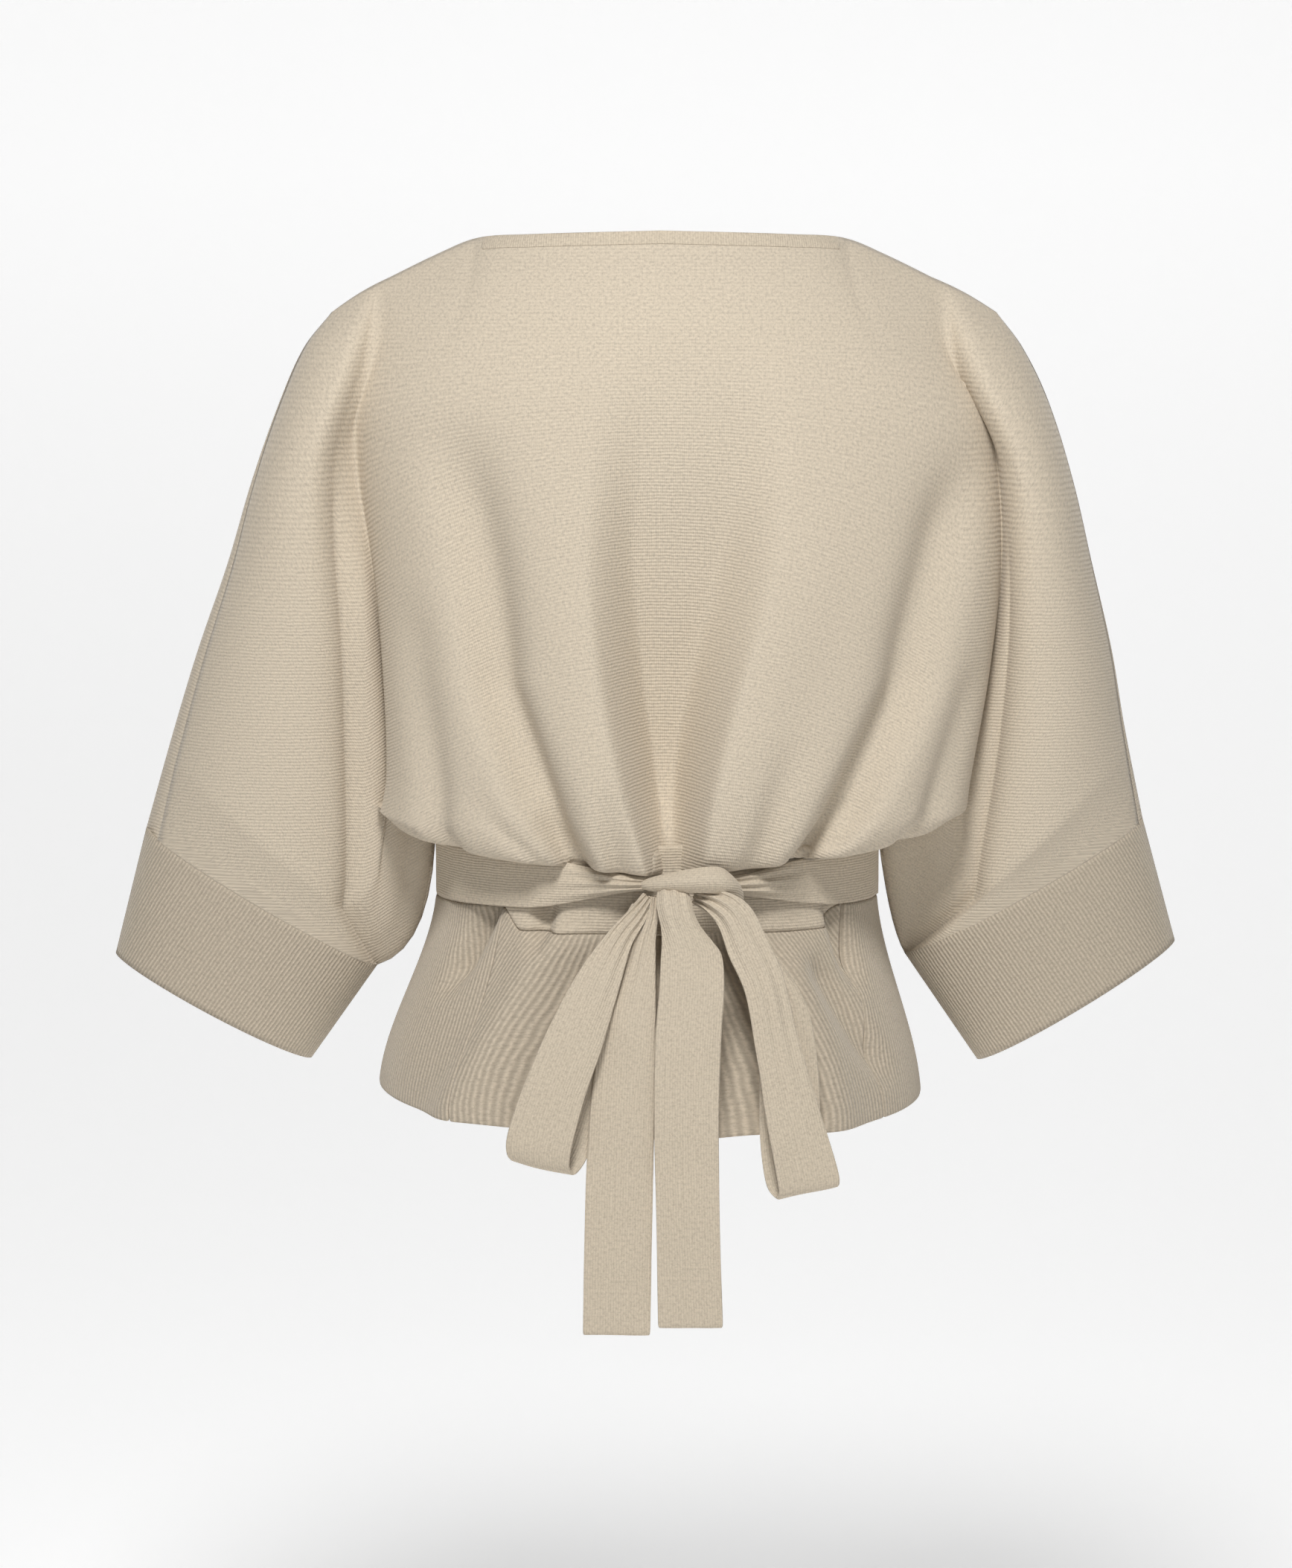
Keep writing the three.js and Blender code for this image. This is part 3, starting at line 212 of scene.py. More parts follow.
# How round a sleeve is between its outer edge and the body. Over the shoulder its inner side runs
# into the body without a fold.
SLEEVE_FULL = {"ends": 2.6, "power": 1 / 2.2}
SOFT_TOP = {"power": 3.0, "until": 0.55}

# How much deeper the folds of the fine surface are than those of the tables, and how much wider
# the sides of the centre hollow
DEEPER = {"hollow": 1.9, "flank_width": 1.12, "folds": 1.9, "peplum": 1.5}

# Where the side folds are rounded: high_* over the shoulder, low_* below it, in columns
SOFT_FOLD = {
    "from": 0.2, "run": 0.3, "window": 12, "edge": 3,
    "low_reach": 1.0, "high_reach": 8.0, "low_passes": 3, "high_passes": 16,
}

# Lean of the back peplum's ribs: from none to full between two places, in degrees
RIB_LEAN = [
    {"from": 0, "to": -40, "lean": -18},
    {"from": -8, "to": 44, "lean": 20},
]

# Fineness of the tie's grids: columns across, and steps from row to row. Height of its crinkles, and
# half waves of the pleats across each half of it, where it is drawn together.
RIBBON_ACROSS = 28
RIBBON_STEPS = 10
CRINKLE = 1.4
PLEAT_COUNT = 3.2

# Small creases of the back, each along a line of places, with its half width and its height: above 0
# a ridge, below 0 a furrow. They fade out at the waist.
CREASE_FADE = {"from": 0.94, "run": 0.06}
CREASE_COLUMNS = ("x", "z", "width", "depth")
BACK_CREASES = {
    "left gather ridge": table(
        CREASE_COLUMNS,
        (-60, -290, 9, 0),
        (-46, -340, 7, 2),
        (-34, -384, 6, 3),
    ),
    "left notch": table(
        CREASE_COLUMNS,
        (-78, -335, 9, 0),
        (-63, -362, 5, -5),
        (-52, -386, 4, -8),
        (-48, -404, 5, -8),
    ),
    "left belly line": table(
        CREASE_COLUMNS,
        (-122, -330, 9, 0),
        (-96, -357, 6, -3),
        (-72, -378, 5, -5),
    ),
    "right gather ridge": table(
        CREASE_COLUMNS,
        (74, -290, 9, 0),
        (58, -340, 7, 2),
        (48, -384, 6, 3),
    ),
    "right notch": table(
        CREASE_COLUMNS,
        (108, -330, 9, 0),
        (93, -358, 5, -5),
        (82, -384, 4, -9),
        (78, -402, 5, -9),
    ),
    "right belly line": table(
        CREASE_COLUMNS,
        (142, -318, 10, 0),
        (122, -345, 7, -3),
        (104, -366, 6, -4),
    ),
    "left shoulder hollow": table(
        CREASE_COLUMNS,
        (-120, -110, 22, 0),
        (-112, -200, 20, -4),
        (-98, -280, 14, -5),
        (-80, -335, 9, -5),
    ),
    "right shoulder hollow": table(
        CREASE_COLUMNS,
        (178, -120, 20, 0),
        (160, -230, 20, -3),
        (138, -300, 15, -5),
        (112, -345, 9, -5),
    ),
}

# Rows of the tie: each stretch from the wearer's side to the knot, by degrees from the centre back
# and how far it stands away from the waistband, then the knot, loops and tails. tilt turns the
# width from +X towards +Z and turn towards +Y; camber rounds the cloth across its width.
STRETCH_COLUMNS = ("angle", "z", "width", "away", "camber")
STRETCHES = {
    "left": table(
        STRETCH_COLUMNS,
        (-80, -390.5, 34, -1.5, 0),
        (-60, -391, 34, -0.3, 0),
        (-43, -391.5, 33, 0, 0),
        (-34, -391.5, 32, 0, 0),
        (-27, -391.5, 28, 0.5, 1),
        (-20, -391, 22, 1.5, 2),
        (-13, -390.3, 15.5, 5, 3),
        (-8, -389.8, 11, 9, 3),
        (-3.5, -389.3, 8, 13, 2),
    ),
    "right": table(
        STRETCH_COLUMNS,
        (82, -390.5, 34, -1.5, 0),
        (68, -391, 34, -0.3, 0),
        (56, -391.5, 33, 0, 0),
        (46, -391.5, 31, 0, 0),
        (36, -391.5, 26, 1, 1.5),
        (28, -391.3, 19.5, 3.5, 2.5),
        (20, -391, 13, 8.5, 3),
        (14, -390.5, 10, 12, 2),
    ),
}
RIBBON_COLUMNS = ("x", "y", "z", "width", "tilt", "turn", "camber")
KNOT = table(
    RIBBON_COLUMNS,
    (-13, -103, -389.5, 4, 80, 0, 1),
    (-6, -109, -388.5, 9, 78, 0, 3),
    (5, -114, -387, 13, 80, 0, 5),
    (18, -117, -385.5, 15.5, 84, 0, 6),
    (30, -117, -385, 17, 92, 0, 6),
    (39, -114, -387, 18, 106, 0, 5),
    (44, -108, -392, 17, 122, 0, 4),
    (45, -101, -395, 14, 130, 0, 2),
)
LEFT_TAIL = table(
    RIBBON_COLUMNS,
    (-4, -108, -396, 5, 0, -20, 1),
    (-5.5, -111, -408, 8, 0, -22, 2),
    (-9, -114, -420, 13, 0, -22, 2),
    (-11.5, -117, -431, 18, 0, -20, 2),
    (-15, -121, -444, 24.5, 0, -15, 2),
    (-17.8, -124, -458, 30, 0, -12, 2),
    (-20, -127, -480, 34, 0, -8, 1.5),
    (-22.3, -130, -510, 38, 0, -4, 1),
    (-24.3, -132, -550, 40, 0, 0, 0.5),
    (-25.6, -133, -600, 40.5, 0, 0, 0.5),
    (-26.5, -134, -657, 40.5, 0, 0, 0.5),
)
RIGHT_TAIL = table(
    RIBBON_COLUMNS,
    (7, -112, -392.5, 19, 0, 0, 4),
    (7.5, -117, -397, 21.5, 0, 0, 4.5),
    (9, -119.5, -405, 22.5, 0, 0, 4.5),
    (12, -121, -413, 25, 0, 0, 4),
    (15.5, -123, -421, 31, 0, 0, 3),
    (18, -125, -430, 37, 0, 0, 2),
    (18, -130, -450, 39, 0, 0, 1),
    (16, -134, -480, 39.5, 0, 0, 1),
    (15, -137, -530, 38.5, 0, -2, 0.5),
    (16, -138, -590, 38, 0, -2, 0.5),
    (17.5, -137, -652, 39, 0, 0, 0.5),
)
LEFT_LOOP = table(
    RIBBON_COLUMNS,
    (-7, -108, -397, 7, -45, 0, 1),
    (-14, -112, -407, 12, -38, 0, 2),
    (-25, -117, -421, 17, -30, 0, 2),
    (-37.5, -126, -445, 27, -24, 0, 2),
    (-50, -134, -475, 34, -22, 0, 2),
    (-63, -140, -508, 37, -20, 0, 1),
    (-71.5, -143, -536, 39, -17, 0, 0),
    (-73, -140, -550, 39, -14, 0, 0),
    (-69, -134, -555, 38, -12, 0, 0),
    (-62, -128, -545, 38, -12, 0, 0),
    (-53, -124, -520, 36, -14, 0, -1),
    (-43, -118, -488, 31, -20, 0, -1),
    (-33, -112, -452, 24, -24, 0, -1),
    (-22, -106, -424, 15, -35, 0, -1),
    (-13, -101, -404, 8, -40, 0, -1),
)
RIGHT_LOOP = table(
    RIBBON_COLUMNS,
    (20, -108, -395, 7, 78, 0, 1),
    (32, -116, -398, 16, 60, 0, 3),
    (43, -121, -406, 23, 38, 0, 4),
    (51.5, -126, -424, 26, 28, 6, 3),
    (61.5, -131, -447, 26, 20, 14, 2),
    (70, -136, -487, 28, 16, 14, 2),
    (78, -140, -522, 33, 14, 12, 1),
    (85, -142, -550, 36, 13, 8, 0),
    (88, -141, -565, 37, 12, 4, 0),
    (86.5, -136, -570, 37, 11, 0, 0),
    (81, -130, -562, 38, 10, 0, 0),
    (77, -126, -535, 37, 7, 0, 0),
    (76, -120, -498, 35, 6, 0, -1),
    (72, -114, -462, 29, 10, 0, -1),
    (58, -109, -434, 20, 25, 0, -1),
    (42, -105, -412, 12, 45, 0, -1),
    (30, -101, -399, 8, 60, 0, -1),
)


def clamp(value, low, high):
    return min(high, max(low, value))


def mix(a, b, share):
    return a + (b - a) * share


def ease(share):
    t = clamp(share, 0.0, 1.0)
    return t * t * (3 - 2 * t)


def quarter(share):
    left = 1 - clamp(share, 0.0, 1.0)
    return math.sqrt(1 - left * left)


def bell(offset):
    return math.exp(-offset * offset)


def read(rows, key, at, column):
    """One column of a table, on a smooth curve through its rows."""
    last = len(rows) - 1
    index = 0
    while index < last - 1 and at > rows[index + 1][key]:
        index += 1

    def slope(row):
        before = rows[max(0, row - 1)]
        after = rows[min(last, row + 1)]
        return (after[column] - before[column]) / (after[key] - before[key])

    low = rows[index]
    high = rows[index + 1]
    span = high[key] - low[key]
    t = clamp((at - low[key]) / span, 0.0, 1.0)
    t2 = t * t
    t3 = t2 * t
    return (
        (2 * t3 - 3 * t2 + 1) * low[column]
        + (t3 - 2 * t2 + t) * span * slope(index)
        + (3 * t2 - 2 * t3) * high[column]
        + (t3 - t2) * span * slope(index + 1)
    )


@lru_cache(maxsize=None)
def section(down, column):
    return read(SECTIONS, "down", down, column)


@lru_cache(maxsize=None)
def arm(down, column):
    return read(ARM_LINE, "down", down, column)


@lru_cache(maxsize=None)
def hollow(down, column):
    return read(CENTRE_HOLLOW, "down", down, column)


@lru_cache(maxsize=None)
def covered_front(down, column):
    return read(COVERED_FRONT, "down", down, column)


def fold_offset(folds, angle, down):
    high, middle, low = FOLD_PATH["high"], FOLD_PATH["middle"], FOLD_PATH["low"]
    offset = 0.0
    for fold in folds:
        share = clamp((down - fold["from"]) / (low - fold["from"]), 0.0, 1.0)
        if down < middle:
            path = mix(fold["high"], fold["middle"], ease((down - high) / (middle - high)))
        else:
            path = mix(fold["middle"], fold["low"], clamp((down - middle) / (low - middle), 0.0, 1.0))
        width = mix(fold["wide"], fold["narrow"], share)
        depth = mix(fold["shallow"], fold["deep"], share) * ease(share * 4) * DEEPER["folds"]
        offset -= depth * bell((angle - path) / width)
    return offset


CRISP = {"from": 0.4, "run": 0.35, "power": 1.7}


def flank(share, crisp):
    """Height of a fold's side: soft at both ends, or with a crisp upper edge."""
    run = clamp(share, 0.0, 1.0)
    return mix(ease(run), 1 - (1 - run) ** CRISP["power"], crisp)


def centre_hollow(angle, down):
    if down < CENTRE_HOLLOW[0]["down"]:
        return 0.0
    left = hollow(down, "left")
    right = hollow(down, "right")
    ramp = hollow(down, "ramp") * DEEPER["flank_width"]
    crisp = ease((down - CRISP["from"]) / CRISP["run"])
    sink = flank((angle - left) / ramp, crisp) * flank((right - angle) / ramp, crisp)
    ridges = bell((angle - left + ramp * 0.5) / ramp) + bell((angle - right - ramp * 0.5) / ramp)
    return hollow(down, "ridge") * ridges - hollow(down, "depth") * DEEPER["hollow"] * sink


def top_point(face, across):
    """Place on the neckline or shoulder line."""
    x = across * SHOULDER_HALF
    in_neck = max(0.0, 1 - (x / NECK_HALF) ** 2)
    y = -NECK_BACK * in_neck**0.7 if face < 0 else 0.0
    return Vector((x, y, read(SHOULDER_LINE, "out", abs(x), "z")))


def overlap_lift(across, down):
    lower_edge = -section(down, "front_edge")
    return OVERLAP_LIFT * ease((lower_edge + OVERLAP_FADE - across) / OVERLAP_FADE)


def crease_offset(creases, point):
    """Height of the small creases at a point; along its own line each counts once."""
    offset = 0.0
    for rows in creases.values():
        strongest = 0.0
        for start, end in zip(rows, rows[1:]):
            run_x = end["x"] - start["x"]
            run_z = end["z"] - start["z"]
            length = run_x * run_x + run_z * run_z
            along = ((point.x - start["x"]) * run_x + (point.z - start["z"]) * run_z) / length
            along = clamp(along, 0.0, 1.0)
            gap = math.hypot(point.x - start["x"] - along * run_x, point.z - start["z"] - along * run_z)
            width = mix(start["width"], end["width"], along)
            height = mix(start["depth"], end["depth"], along) * bell(gap / width)
            if abs(height) > abs(strongest):
                strongest = height
        offset += strongest
    return offset


# Power by which the hanging edge rises towards the sides, and where the shoulder line's x, y and z
# have given way to the sections
HANG_POWER = 1.3
TOP_UNTIL = {"x": 0.3, "y": 0.28, "z": 0.35}


def body_point(face, across, down, front_side=0):
    """Place on the body: face is -1 at the back and 1 in front, front_side tells the two fronts apart."""
    degrees = across * (90 + section(down, "curl"))
    angle = math.radians(degrees)
    half = section(down, "left") if across < 0 else section(down, "right")
    depth = section(down, "back_depth") if face < 0 else section(down, "front_depth")
    lip = section(down, "back_lip") if face < 0 else section(down, "front_lip")
    out = fold_offset(BACK_FOLDS if face < 0 else FRONT_FOLDS, degrees, down)
    if face < 0:
        out += centre_hollow(degrees, down)
    hang = ease((down - HANG["from"]) / (HANG["full"] - HANG["from"]))
    hang *= 1 - ease((down - HANG["until"]) / (1 - HANG["until"]))
    height = section(down, "z") + HANG_RISE * hang * abs(across) ** HANG_POWER
    if front_side > 0:
        out += overlap_lift(across, down)
    if front_side < 0 and down > COVERED_FRONT[0]["down"]:
        covered = ease((across - COVER_START) / COVER_FADE)
        out -= covered * covered_front(down, "shrink")
        height = mix(height, covered_front(down, "z"), covered)
    top = top_point(face, across)
    x = (half + out) * math.sin(angle)
    y = face * (lip + (depth + out) * math.cos(angle))
    return Vector((
        mix(top.x, x, ease(down / TOP_UNTIL["x"])),
        mix(top.y, y, quarter(down / TOP_UNTIL["y"])),
        height + top.z * (1 - ease(down / TOP_UNTIL["z"])),
    ))


@lru_cache(maxsize=None)
def fold_point(face, side, down):
    return body_point(face, side, down)


@lru_cache(maxsize=None)
def arm_point(side, down):
    name = "left" if side < 0 else "right"
    return Vector((arm(down, f"{name}_x"), arm(down, "y"), arm(down, f"{name}_z")))


def cuff_of(side):
    return CUFFS["left"] if side < 0 else CUFFS["right"]


def ring_point(outer, inner, depth, degrees):
    """Place on an oval ring between its outer and inner ends."""
    angle = math.radians(degrees)
    point = outer.lerp(inner, (1 - math.cos(angle)) / 2)
    point.y += depth * math.sin(angle)
    return point


@lru_cache(maxsize=None)
def sleeve_edge(face, side, share):
    """Lower edge of a sleeve: along the cuff's seam, then back to the waist under the arm."""
    cuff = cuff_of(side)
    inner = Vector(cuff["seam_inner"])
    if share <= CUFF_SHARE:
        return ring_point(arm_point(side, 1), inner, face * CUFF_DEPTH["seam"], 180 * share / CUFF_SHARE)
    t = (share - CUFF_SHARE) / (1 - CUFF_SHARE)
    bend = Vector(cuff["underarm_bend"])
    return inner.lerp(bend, t).lerp(bend.lerp(fold_point(face, side, 1), t), t)


def chord_share(share):
    if share <= CUFF_SHARE:
        return CUFF_SHARE * (1 - math.cos(math.pi * share / CUFF_SHARE)) / 2
    return share


def shoulder_point(side, chord):
    start = arm_point(side, 0)
    end = top_point(1, side)
    z = mix(start.z, end.z, chord) + 1.5 * math.sin(math.pi * chord)
    return Vector((mix(start.x, end.x, chord), 0, z))


@lru_cache(maxsize=None)
def straight_fold(face, side, down):
    """The side fold of the body, without the part of it that hangs over the waist."""
    if down < HANG["from"]:
        return fold_point(face, side, down)
    share = (down - HANG["from"]) / (1 - HANG["from"])
    return fold_point(face, side, HANG["from"]).lerp(fold_point(face, side, 1), share)


def sleeve_point(face, side, share, down):
    """Place on a sleeve, spanned between its four edges and puffed out."""
    chord = chord_share(share)
    straight = straight_fold(face, side, down)
    edges = shoulder_point(side, chord) * (1 - down) + sleeve_edge(face, side, share) * down
    edges += arm_point(side, down) * (1 - chord) + straight * chord
    edges -= arm_point(side, 0) * ((1 - down) * (1 - chord)) + top_point(1, side) * ((1 - down) * chord)
    edges -= arm_point(side, 1) * (down * (1 - chord)) + fold_point(face, side, 1) * (down * chord)
    edges.y += face * arm(down, "puff") * sleeve_round(chord, down)
    underarm = quarter((1 - down) / UNDERARM["rise"]) * ease((down - UNDERARM["from"]) / 0.4)
    edges.y += face * UNDERARM["round"] * underarm * bell((chord - UNDERARM["at"]) / UNDERARM["reach"])
    hanging = fold_point(face, side, down) - straight
    return edges + hanging * ease((chord - CUFF_SHARE) / (1 - CUFF_SHARE))


def sleeve_round(chord, down):
    full = 1 - abs(2 * chord - 1) ** SLEEVE_FULL["ends"]
    if chord < 0.5:
        return full ** SLEEVE_FULL["power"]
    return full ** mix(SOFT_TOP["power"], SLEEVE_FULL["power"], ease(down / SOFT_TOP["until"]))


def station_share(station, down):
    if station.get("arm_seam"):
        return station["share"] * math.sqrt(clamp(down / ARM_SEAM["from"], 0.0, 1.0))
    return station["share"]


def station_point(station, down):
    if station["part"] == "sleeve":
        return sleeve_point(station["face"], station["side"], station_share(station, down), down)
    if station["face"] < 0:
        return body_point(-1, station["across"], down)
    edge = station["side"] * section(down, "front_edge")
    return body_point(1, mix(edge, station["side"], station["share"]), down, station["side"])


def steps(start, end, count):
    return [mix(start, end, i / count) for i in range(count + 1)]


# Columns and rows of the fine grids, and powers that put more of them where the cloth bends most.
# A panel ends just short of its side fold.
BODY_COLUMNS = 180
BODY_SPREAD = 1.35
BODY_END = 0.998
FRONT_COLUMNS = 60
SEAM_COLUMNS = 26
UNDERARM_COLUMNS = 8
UNDERARM_END = 0.99
UPPER_ROWS = 66
UPPER_SPREAD = 1.15
HANG_ROWS = 32


def panel_rows():
    upper = [HANG["from"] * (i / UPPER_ROWS) ** UPPER_SPREAD for i in range(UPPER_ROWS)]
    return upper + steps(HANG["from"], 1, HANG_ROWS)


def sleeve_stations(face, side, start):
    stations = []
    for i in range(SEAM_COLUMNS):
        share = mix(start, CUFF_SHARE, i / SEAM_COLUMNS)
        stations.append({"part": "sleeve", "face": face, "side": side, "share": share})
    for i in range(UNDERARM_COLUMNS):
        share = mix(CUFF_SHARE, UNDERARM_END, i / (UNDERARM_COLUMNS - 1))
        stations.append({"part": "sleeve", "face": face, "side": side, "share": share})
    return stations


def back_stations():
    left = sleeve_stations(-1, -1, ARM_SEAM["left"])
    right = sleeve_stations(-1, 1, ARM_SEAM["right"])
    left[0]["arm_seam"] = True
    right[0]["arm_seam"] = True
    body = []
    for even in steps(-1, 1, BODY_COLUMNS):
        across = math.copysign(abs(even) ** BODY_SPREAD, even) * BODY_END
        body.append({"part": "body", "face": -1, "across": across})
    return left + body + right[::-1]


def front_stations(side):
    seam = ARM_SEAM["left"] if side < 0 else ARM_SEAM["right"]
    body = [
        {"part": "body", "face": 1, "side": side, "share": share}
        for share in steps(0, BODY_END, FRONT_COLUMNS)
    ]
    last = {"part": "sleeve", "face": -1, "side": side, "share": seam, "arm_seam": True}
    return body + sleeve_stations(1, side, 0)[::-1] + [last]


def soften(grid, rows, stations):
    """Rounds the foot of the side folds, widely over the shoulder and narrowly below it."""
    changes = [j for j in range(1, len(stations)) if stations[j]["part"] != stations[j - 1]["part"]]
    for row, down in list(zip(grid, rows))[1:-1]:
        upper = 1 - ease((down - SOFT_FOLD["from"]) / SOFT_FOLD["run"])
        reach = mix(SOFT_FOLD["low_reach"], SOFT_FOLD["high_reach"], upper)
        for _ in range(round(mix(SOFT_FOLD["low_passes"], SOFT_FOLD["high_passes"], upper))):
            before = [point.copy() for point in row]
            for change in changes:
                first = max(1, change - SOFT_FOLD["window"])
                for j in range(first, min(len(row) - 1, change + SOFT_FOLD["window"])):
                    weight = 0.5 * (1 - ease((abs(j - change + 0.5) - reach) / SOFT_FOLD["edge"]))
                    if weight > 0:
                        middle = (before[j - 1] + before[j + 1]) / 2
                        row[j] = row[j].lerp(middle, weight)


def panel(stations, creases):
    """Grid of a bodice panel with its creases: a row of places for each step down."""
    rows = panel_rows()
    grid = [[station_point(station, down) for station in stations] for down in rows]
    soften(grid, rows, stations)
    for row, down in zip(grid, rows):
        fade = 1 - ease((down - CREASE_FADE["from"]) / CREASE_FADE["run"])
        for point, station in zip(row, stations):
            if station["face"] < 0 and station["part"] == "body":
                point.y -= crease_offset(creases, point) * fade
    return grid


def even_angles(half_width, half_depth, count):
    """Angles round an oval that lie evenly along its edge."""
    samples = 720
    lengths = [0.0]
    for i in range(1, samples + 1):
        angle = math.radians(360 * (i - 0.5) / samples)
        step = math.hypot(half_width * math.sin(angle), half_depth * math.cos(angle))
        lengths.append(lengths[-1] + step)
    angles = []
    i = 0
    for k in range(count):
        target = lengths[-1] * k / count
        while lengths[i + 1] < target:
            i += 1
        angles.append(360 * (i + (target - lengths[i]) / (lengths[i + 1] - lengths[i])) / samples)
    return angles


# Share of a cuff's length that goes in behind the sleeve's end
CUFF_TUCK = 0.015


def cuff_grid(side, columns, rows):
    cuff = cuff_of(side)
    seam_outer = arm_point(side, 1)
    seam_inner = Vector(cuff["seam_inner"])
    end_outer = Vector(cuff["end_outer"])
    end_inner = Vector(cuff["end_inner"])
    half_width = (seam_outer - seam_inner).length / 2
    angles = even_angles(half_width, CUFF_DEPTH["seam"], columns)
    grid = []
    for share in steps(-CUFF_TUCK, 1, rows):
        row = []
        for degrees in angles:
            seam = ring_point(seam_outer, seam_inner, -CUFF_DEPTH["seam"], degrees)
            end = ring_point(end_outer, end_inner, -CUFF_DEPTH["end"], degrees)
            row.append(seam.lerp(end, share))
        grid.append(row)
    return grid


def peplum_folds(folds, angle, share):
    offset = 0.0
    for fold in folds:
        run = clamp((share - fold["from"]) / (fold["to"] - fold["from"]), 0.0, 1.0)
        fade = ease((share - fold["from"]) / PEPLUM_FADE["in"])
        fade *= 1 - ease((run - PEPLUM_FADE["out_from"]) / (1 - PEPLUM_FADE["out_from"]))
        path = mix(fold["top"], fold["bottom"], run)
        offset += fold["depth"] * fade * bell((angle - path) / fold["width"])
    return offset


# Degrees from the centre back at which the back's folds give way to the front's, and the part of the
# peplum's flare that is even from top to hem
FRONT_FROM = 75
FRONT_RUN = 30
EVEN_FLARE = 0.3


def skirt_point(degrees, share, stand):
    """Place on the waistband (share below 0) or peplum, by degrees from the centre back."""
    angle = math.radians(degrees)
    on_left = math.sin(angle) < 0
    front_share = ease((abs(degrees) - FRONT_FROM) / FRONT_RUN)
    from_front = 180 - degrees if degrees > 0 else -180 - degrees
    folds = mix(
        peplum_folds(BACK_PEPLUM_FOLDS, degrees, share),
        peplum_folds(FRONT_PEPLUM_FOLDS, from_front, share),
        front_share,
    )
    flare = 0 if share < 0 else EVEN_FLARE * share + (1 - EVEN_FLARE) * ease(share)
    side = "left" if on_left else "right"
    half = mix(WAIST[side], HEM[side], flare)
    drop = HEM["back_drop"] if math.cos(angle) > 0 else HEM["front_drop"]
    top = WAIST["z"] - SIDE_BAND_HEIGHT
    hem = HEM["side_z"] - drop * abs(math.cos(angle)) - HEM["right_drop"] * math.sin(angle)
    out = stand + folds * DEEPER["peplum"]
    return Vector((
        (half + out) * math.sin(angle),
        -(mix(WAIST["depth"], HEM["depth"], flare) + out) * math.cos(angle),
        mix(top, HEM["side_z"], share) if share < 0 else mix(top, hem, share),
    ))


def front_stand(side, degrees):
    """How far the right front's waistband and peplum stand out over the left one's."""
    if side < 0:
        return 0
    across = (180 - degrees) / 90
    return 0 if across > 1 else overlap_lift(across, 1)


PEPLUM_LENGTH = WAIST["z"] - SIDE_BAND_HEIGHT - HEM["side_z"]


def band_share(z):
    """Share of the peplum's length at a height, below 0 in the side waistband."""
    return (WAIST["z"] - SIDE_BAND_HEIGHT - z) / PEPLUM_LENGTH


BACK_SPAN = (SIDE_SEAM["left"], SIDE_SEAM["right"])
FRONT_END = 180 - section(1, "front_edge") * 90
RIGHT_SPAN = (SIDE_SEAM["right"], FRONT_END)
LEFT_SPAN = (SIDE_SEAM["left"], -FRONT_END)


def rib_lean(degrees, share):
    """How far the ribs of the back peplum lean outwards on their way down, in degrees."""
    run = clamp(share, 0.0, 1.0)
    down = 1 - (1 - run) ** 2
    lean = 0.0
    for part in RIB_LEAN:
        lean += part["lean"] * ease((degrees - part["from"]) / (part["to"] - part["from"]))
    return lean * down


def band_bottom(degrees, on_back):
    """Share at the lower edge of the waistband, which is taller at the back."""
    if not on_back:
        return 0.0
    inside = min(degrees - SIDE_SEAM["left"], SIDE_SEAM["right"] - degrees)
    height = mix(SIDE_BAND_HEIGHT, BACK_BAND_HEIGHT, ease(inside / BAND_STEP_RUN))
    return band_share(WAIST["z"] - height)


def skirt_grid(span, side, rows, columns, peplum):
    """Grid and map of one piece of the waistband or peplum; the ribs lean with the cloth."""
    on_back = span == BACK_SPAN
    scale = math.radians(1) * (WAIST["left"] + WAIST["depth"]) / 2
    top = band_share(WAIST["z"] + 1)
    grid = []
    mapped = []
    for run in steps(0, 1, rows):
        row = []
        map_row = []
        for degrees in steps(span[0], span[1], columns):
            bottom = band_bottom(degrees, on_back)
            share = mix(bottom, 1, run) if peplum else mix(top, bottom, run)
            row.append(skirt_point(degrees, share, front_stand(side, degrees)))
            lean = rib_lean(degrees, share) if on_back else 0
            map_row.append(((degrees - lean) * scale, -share * PEPLUM_LENGTH))
        grid.append(row)
        mapped.append(map_row)
    return grid, mapped


def ribbon_grid(rows, seed, pleats):
    """Grid of a piece of the tie through its rows, with pleats where it is drawn together."""
    numbered = [dict(row, at=i) for i, row in enumerate(rows)]
    last = len(rows) - 1
    widest = max(row["width"] for row in rows)
    grid = []
    for at in steps(0, last, last * RIBBON_STEPS):
        value = {column: read(numbered, "at", at, column) for column in rows[0]}
        tilt = math.radians(value["tilt"])
        turn = math.radians(value["turn"])
        side = Vector((math.cos(tilt) * math.cos(turn), math.sin(turn), math.sin(tilt) * math.cos(turn)))

        def place(row):
            return Vector([read(numbered, "at", row, axis) for axis in "xyz"])

        along = place(min(at + 0.05, last)) - place(max(at - 0.05, 0))
        out = along.cross(side).normalized()
        centre = place(at)
        row = []
        for across in steps(-1, 1, RIBBON_ACROSS):
            point = centre + side * (across * value["width"] / 2)
            point += out * (value["camber"] * (1 - across * across))
            wave = CRINKLE * noise.noise(Vector((point.x * 0.04, point.z * 0.035, seed)))
            gathered = clamp(1.15 - 1.3 * value["width"] / widest, 0.0, 1.0)
            turns = across * PLEAT_COUNT + 0.3 * seed
            wave += pleats * gathered * math.cos(math.pi * turns)
            row.append(point + out * wave)
        grid.append(row)
    return grid


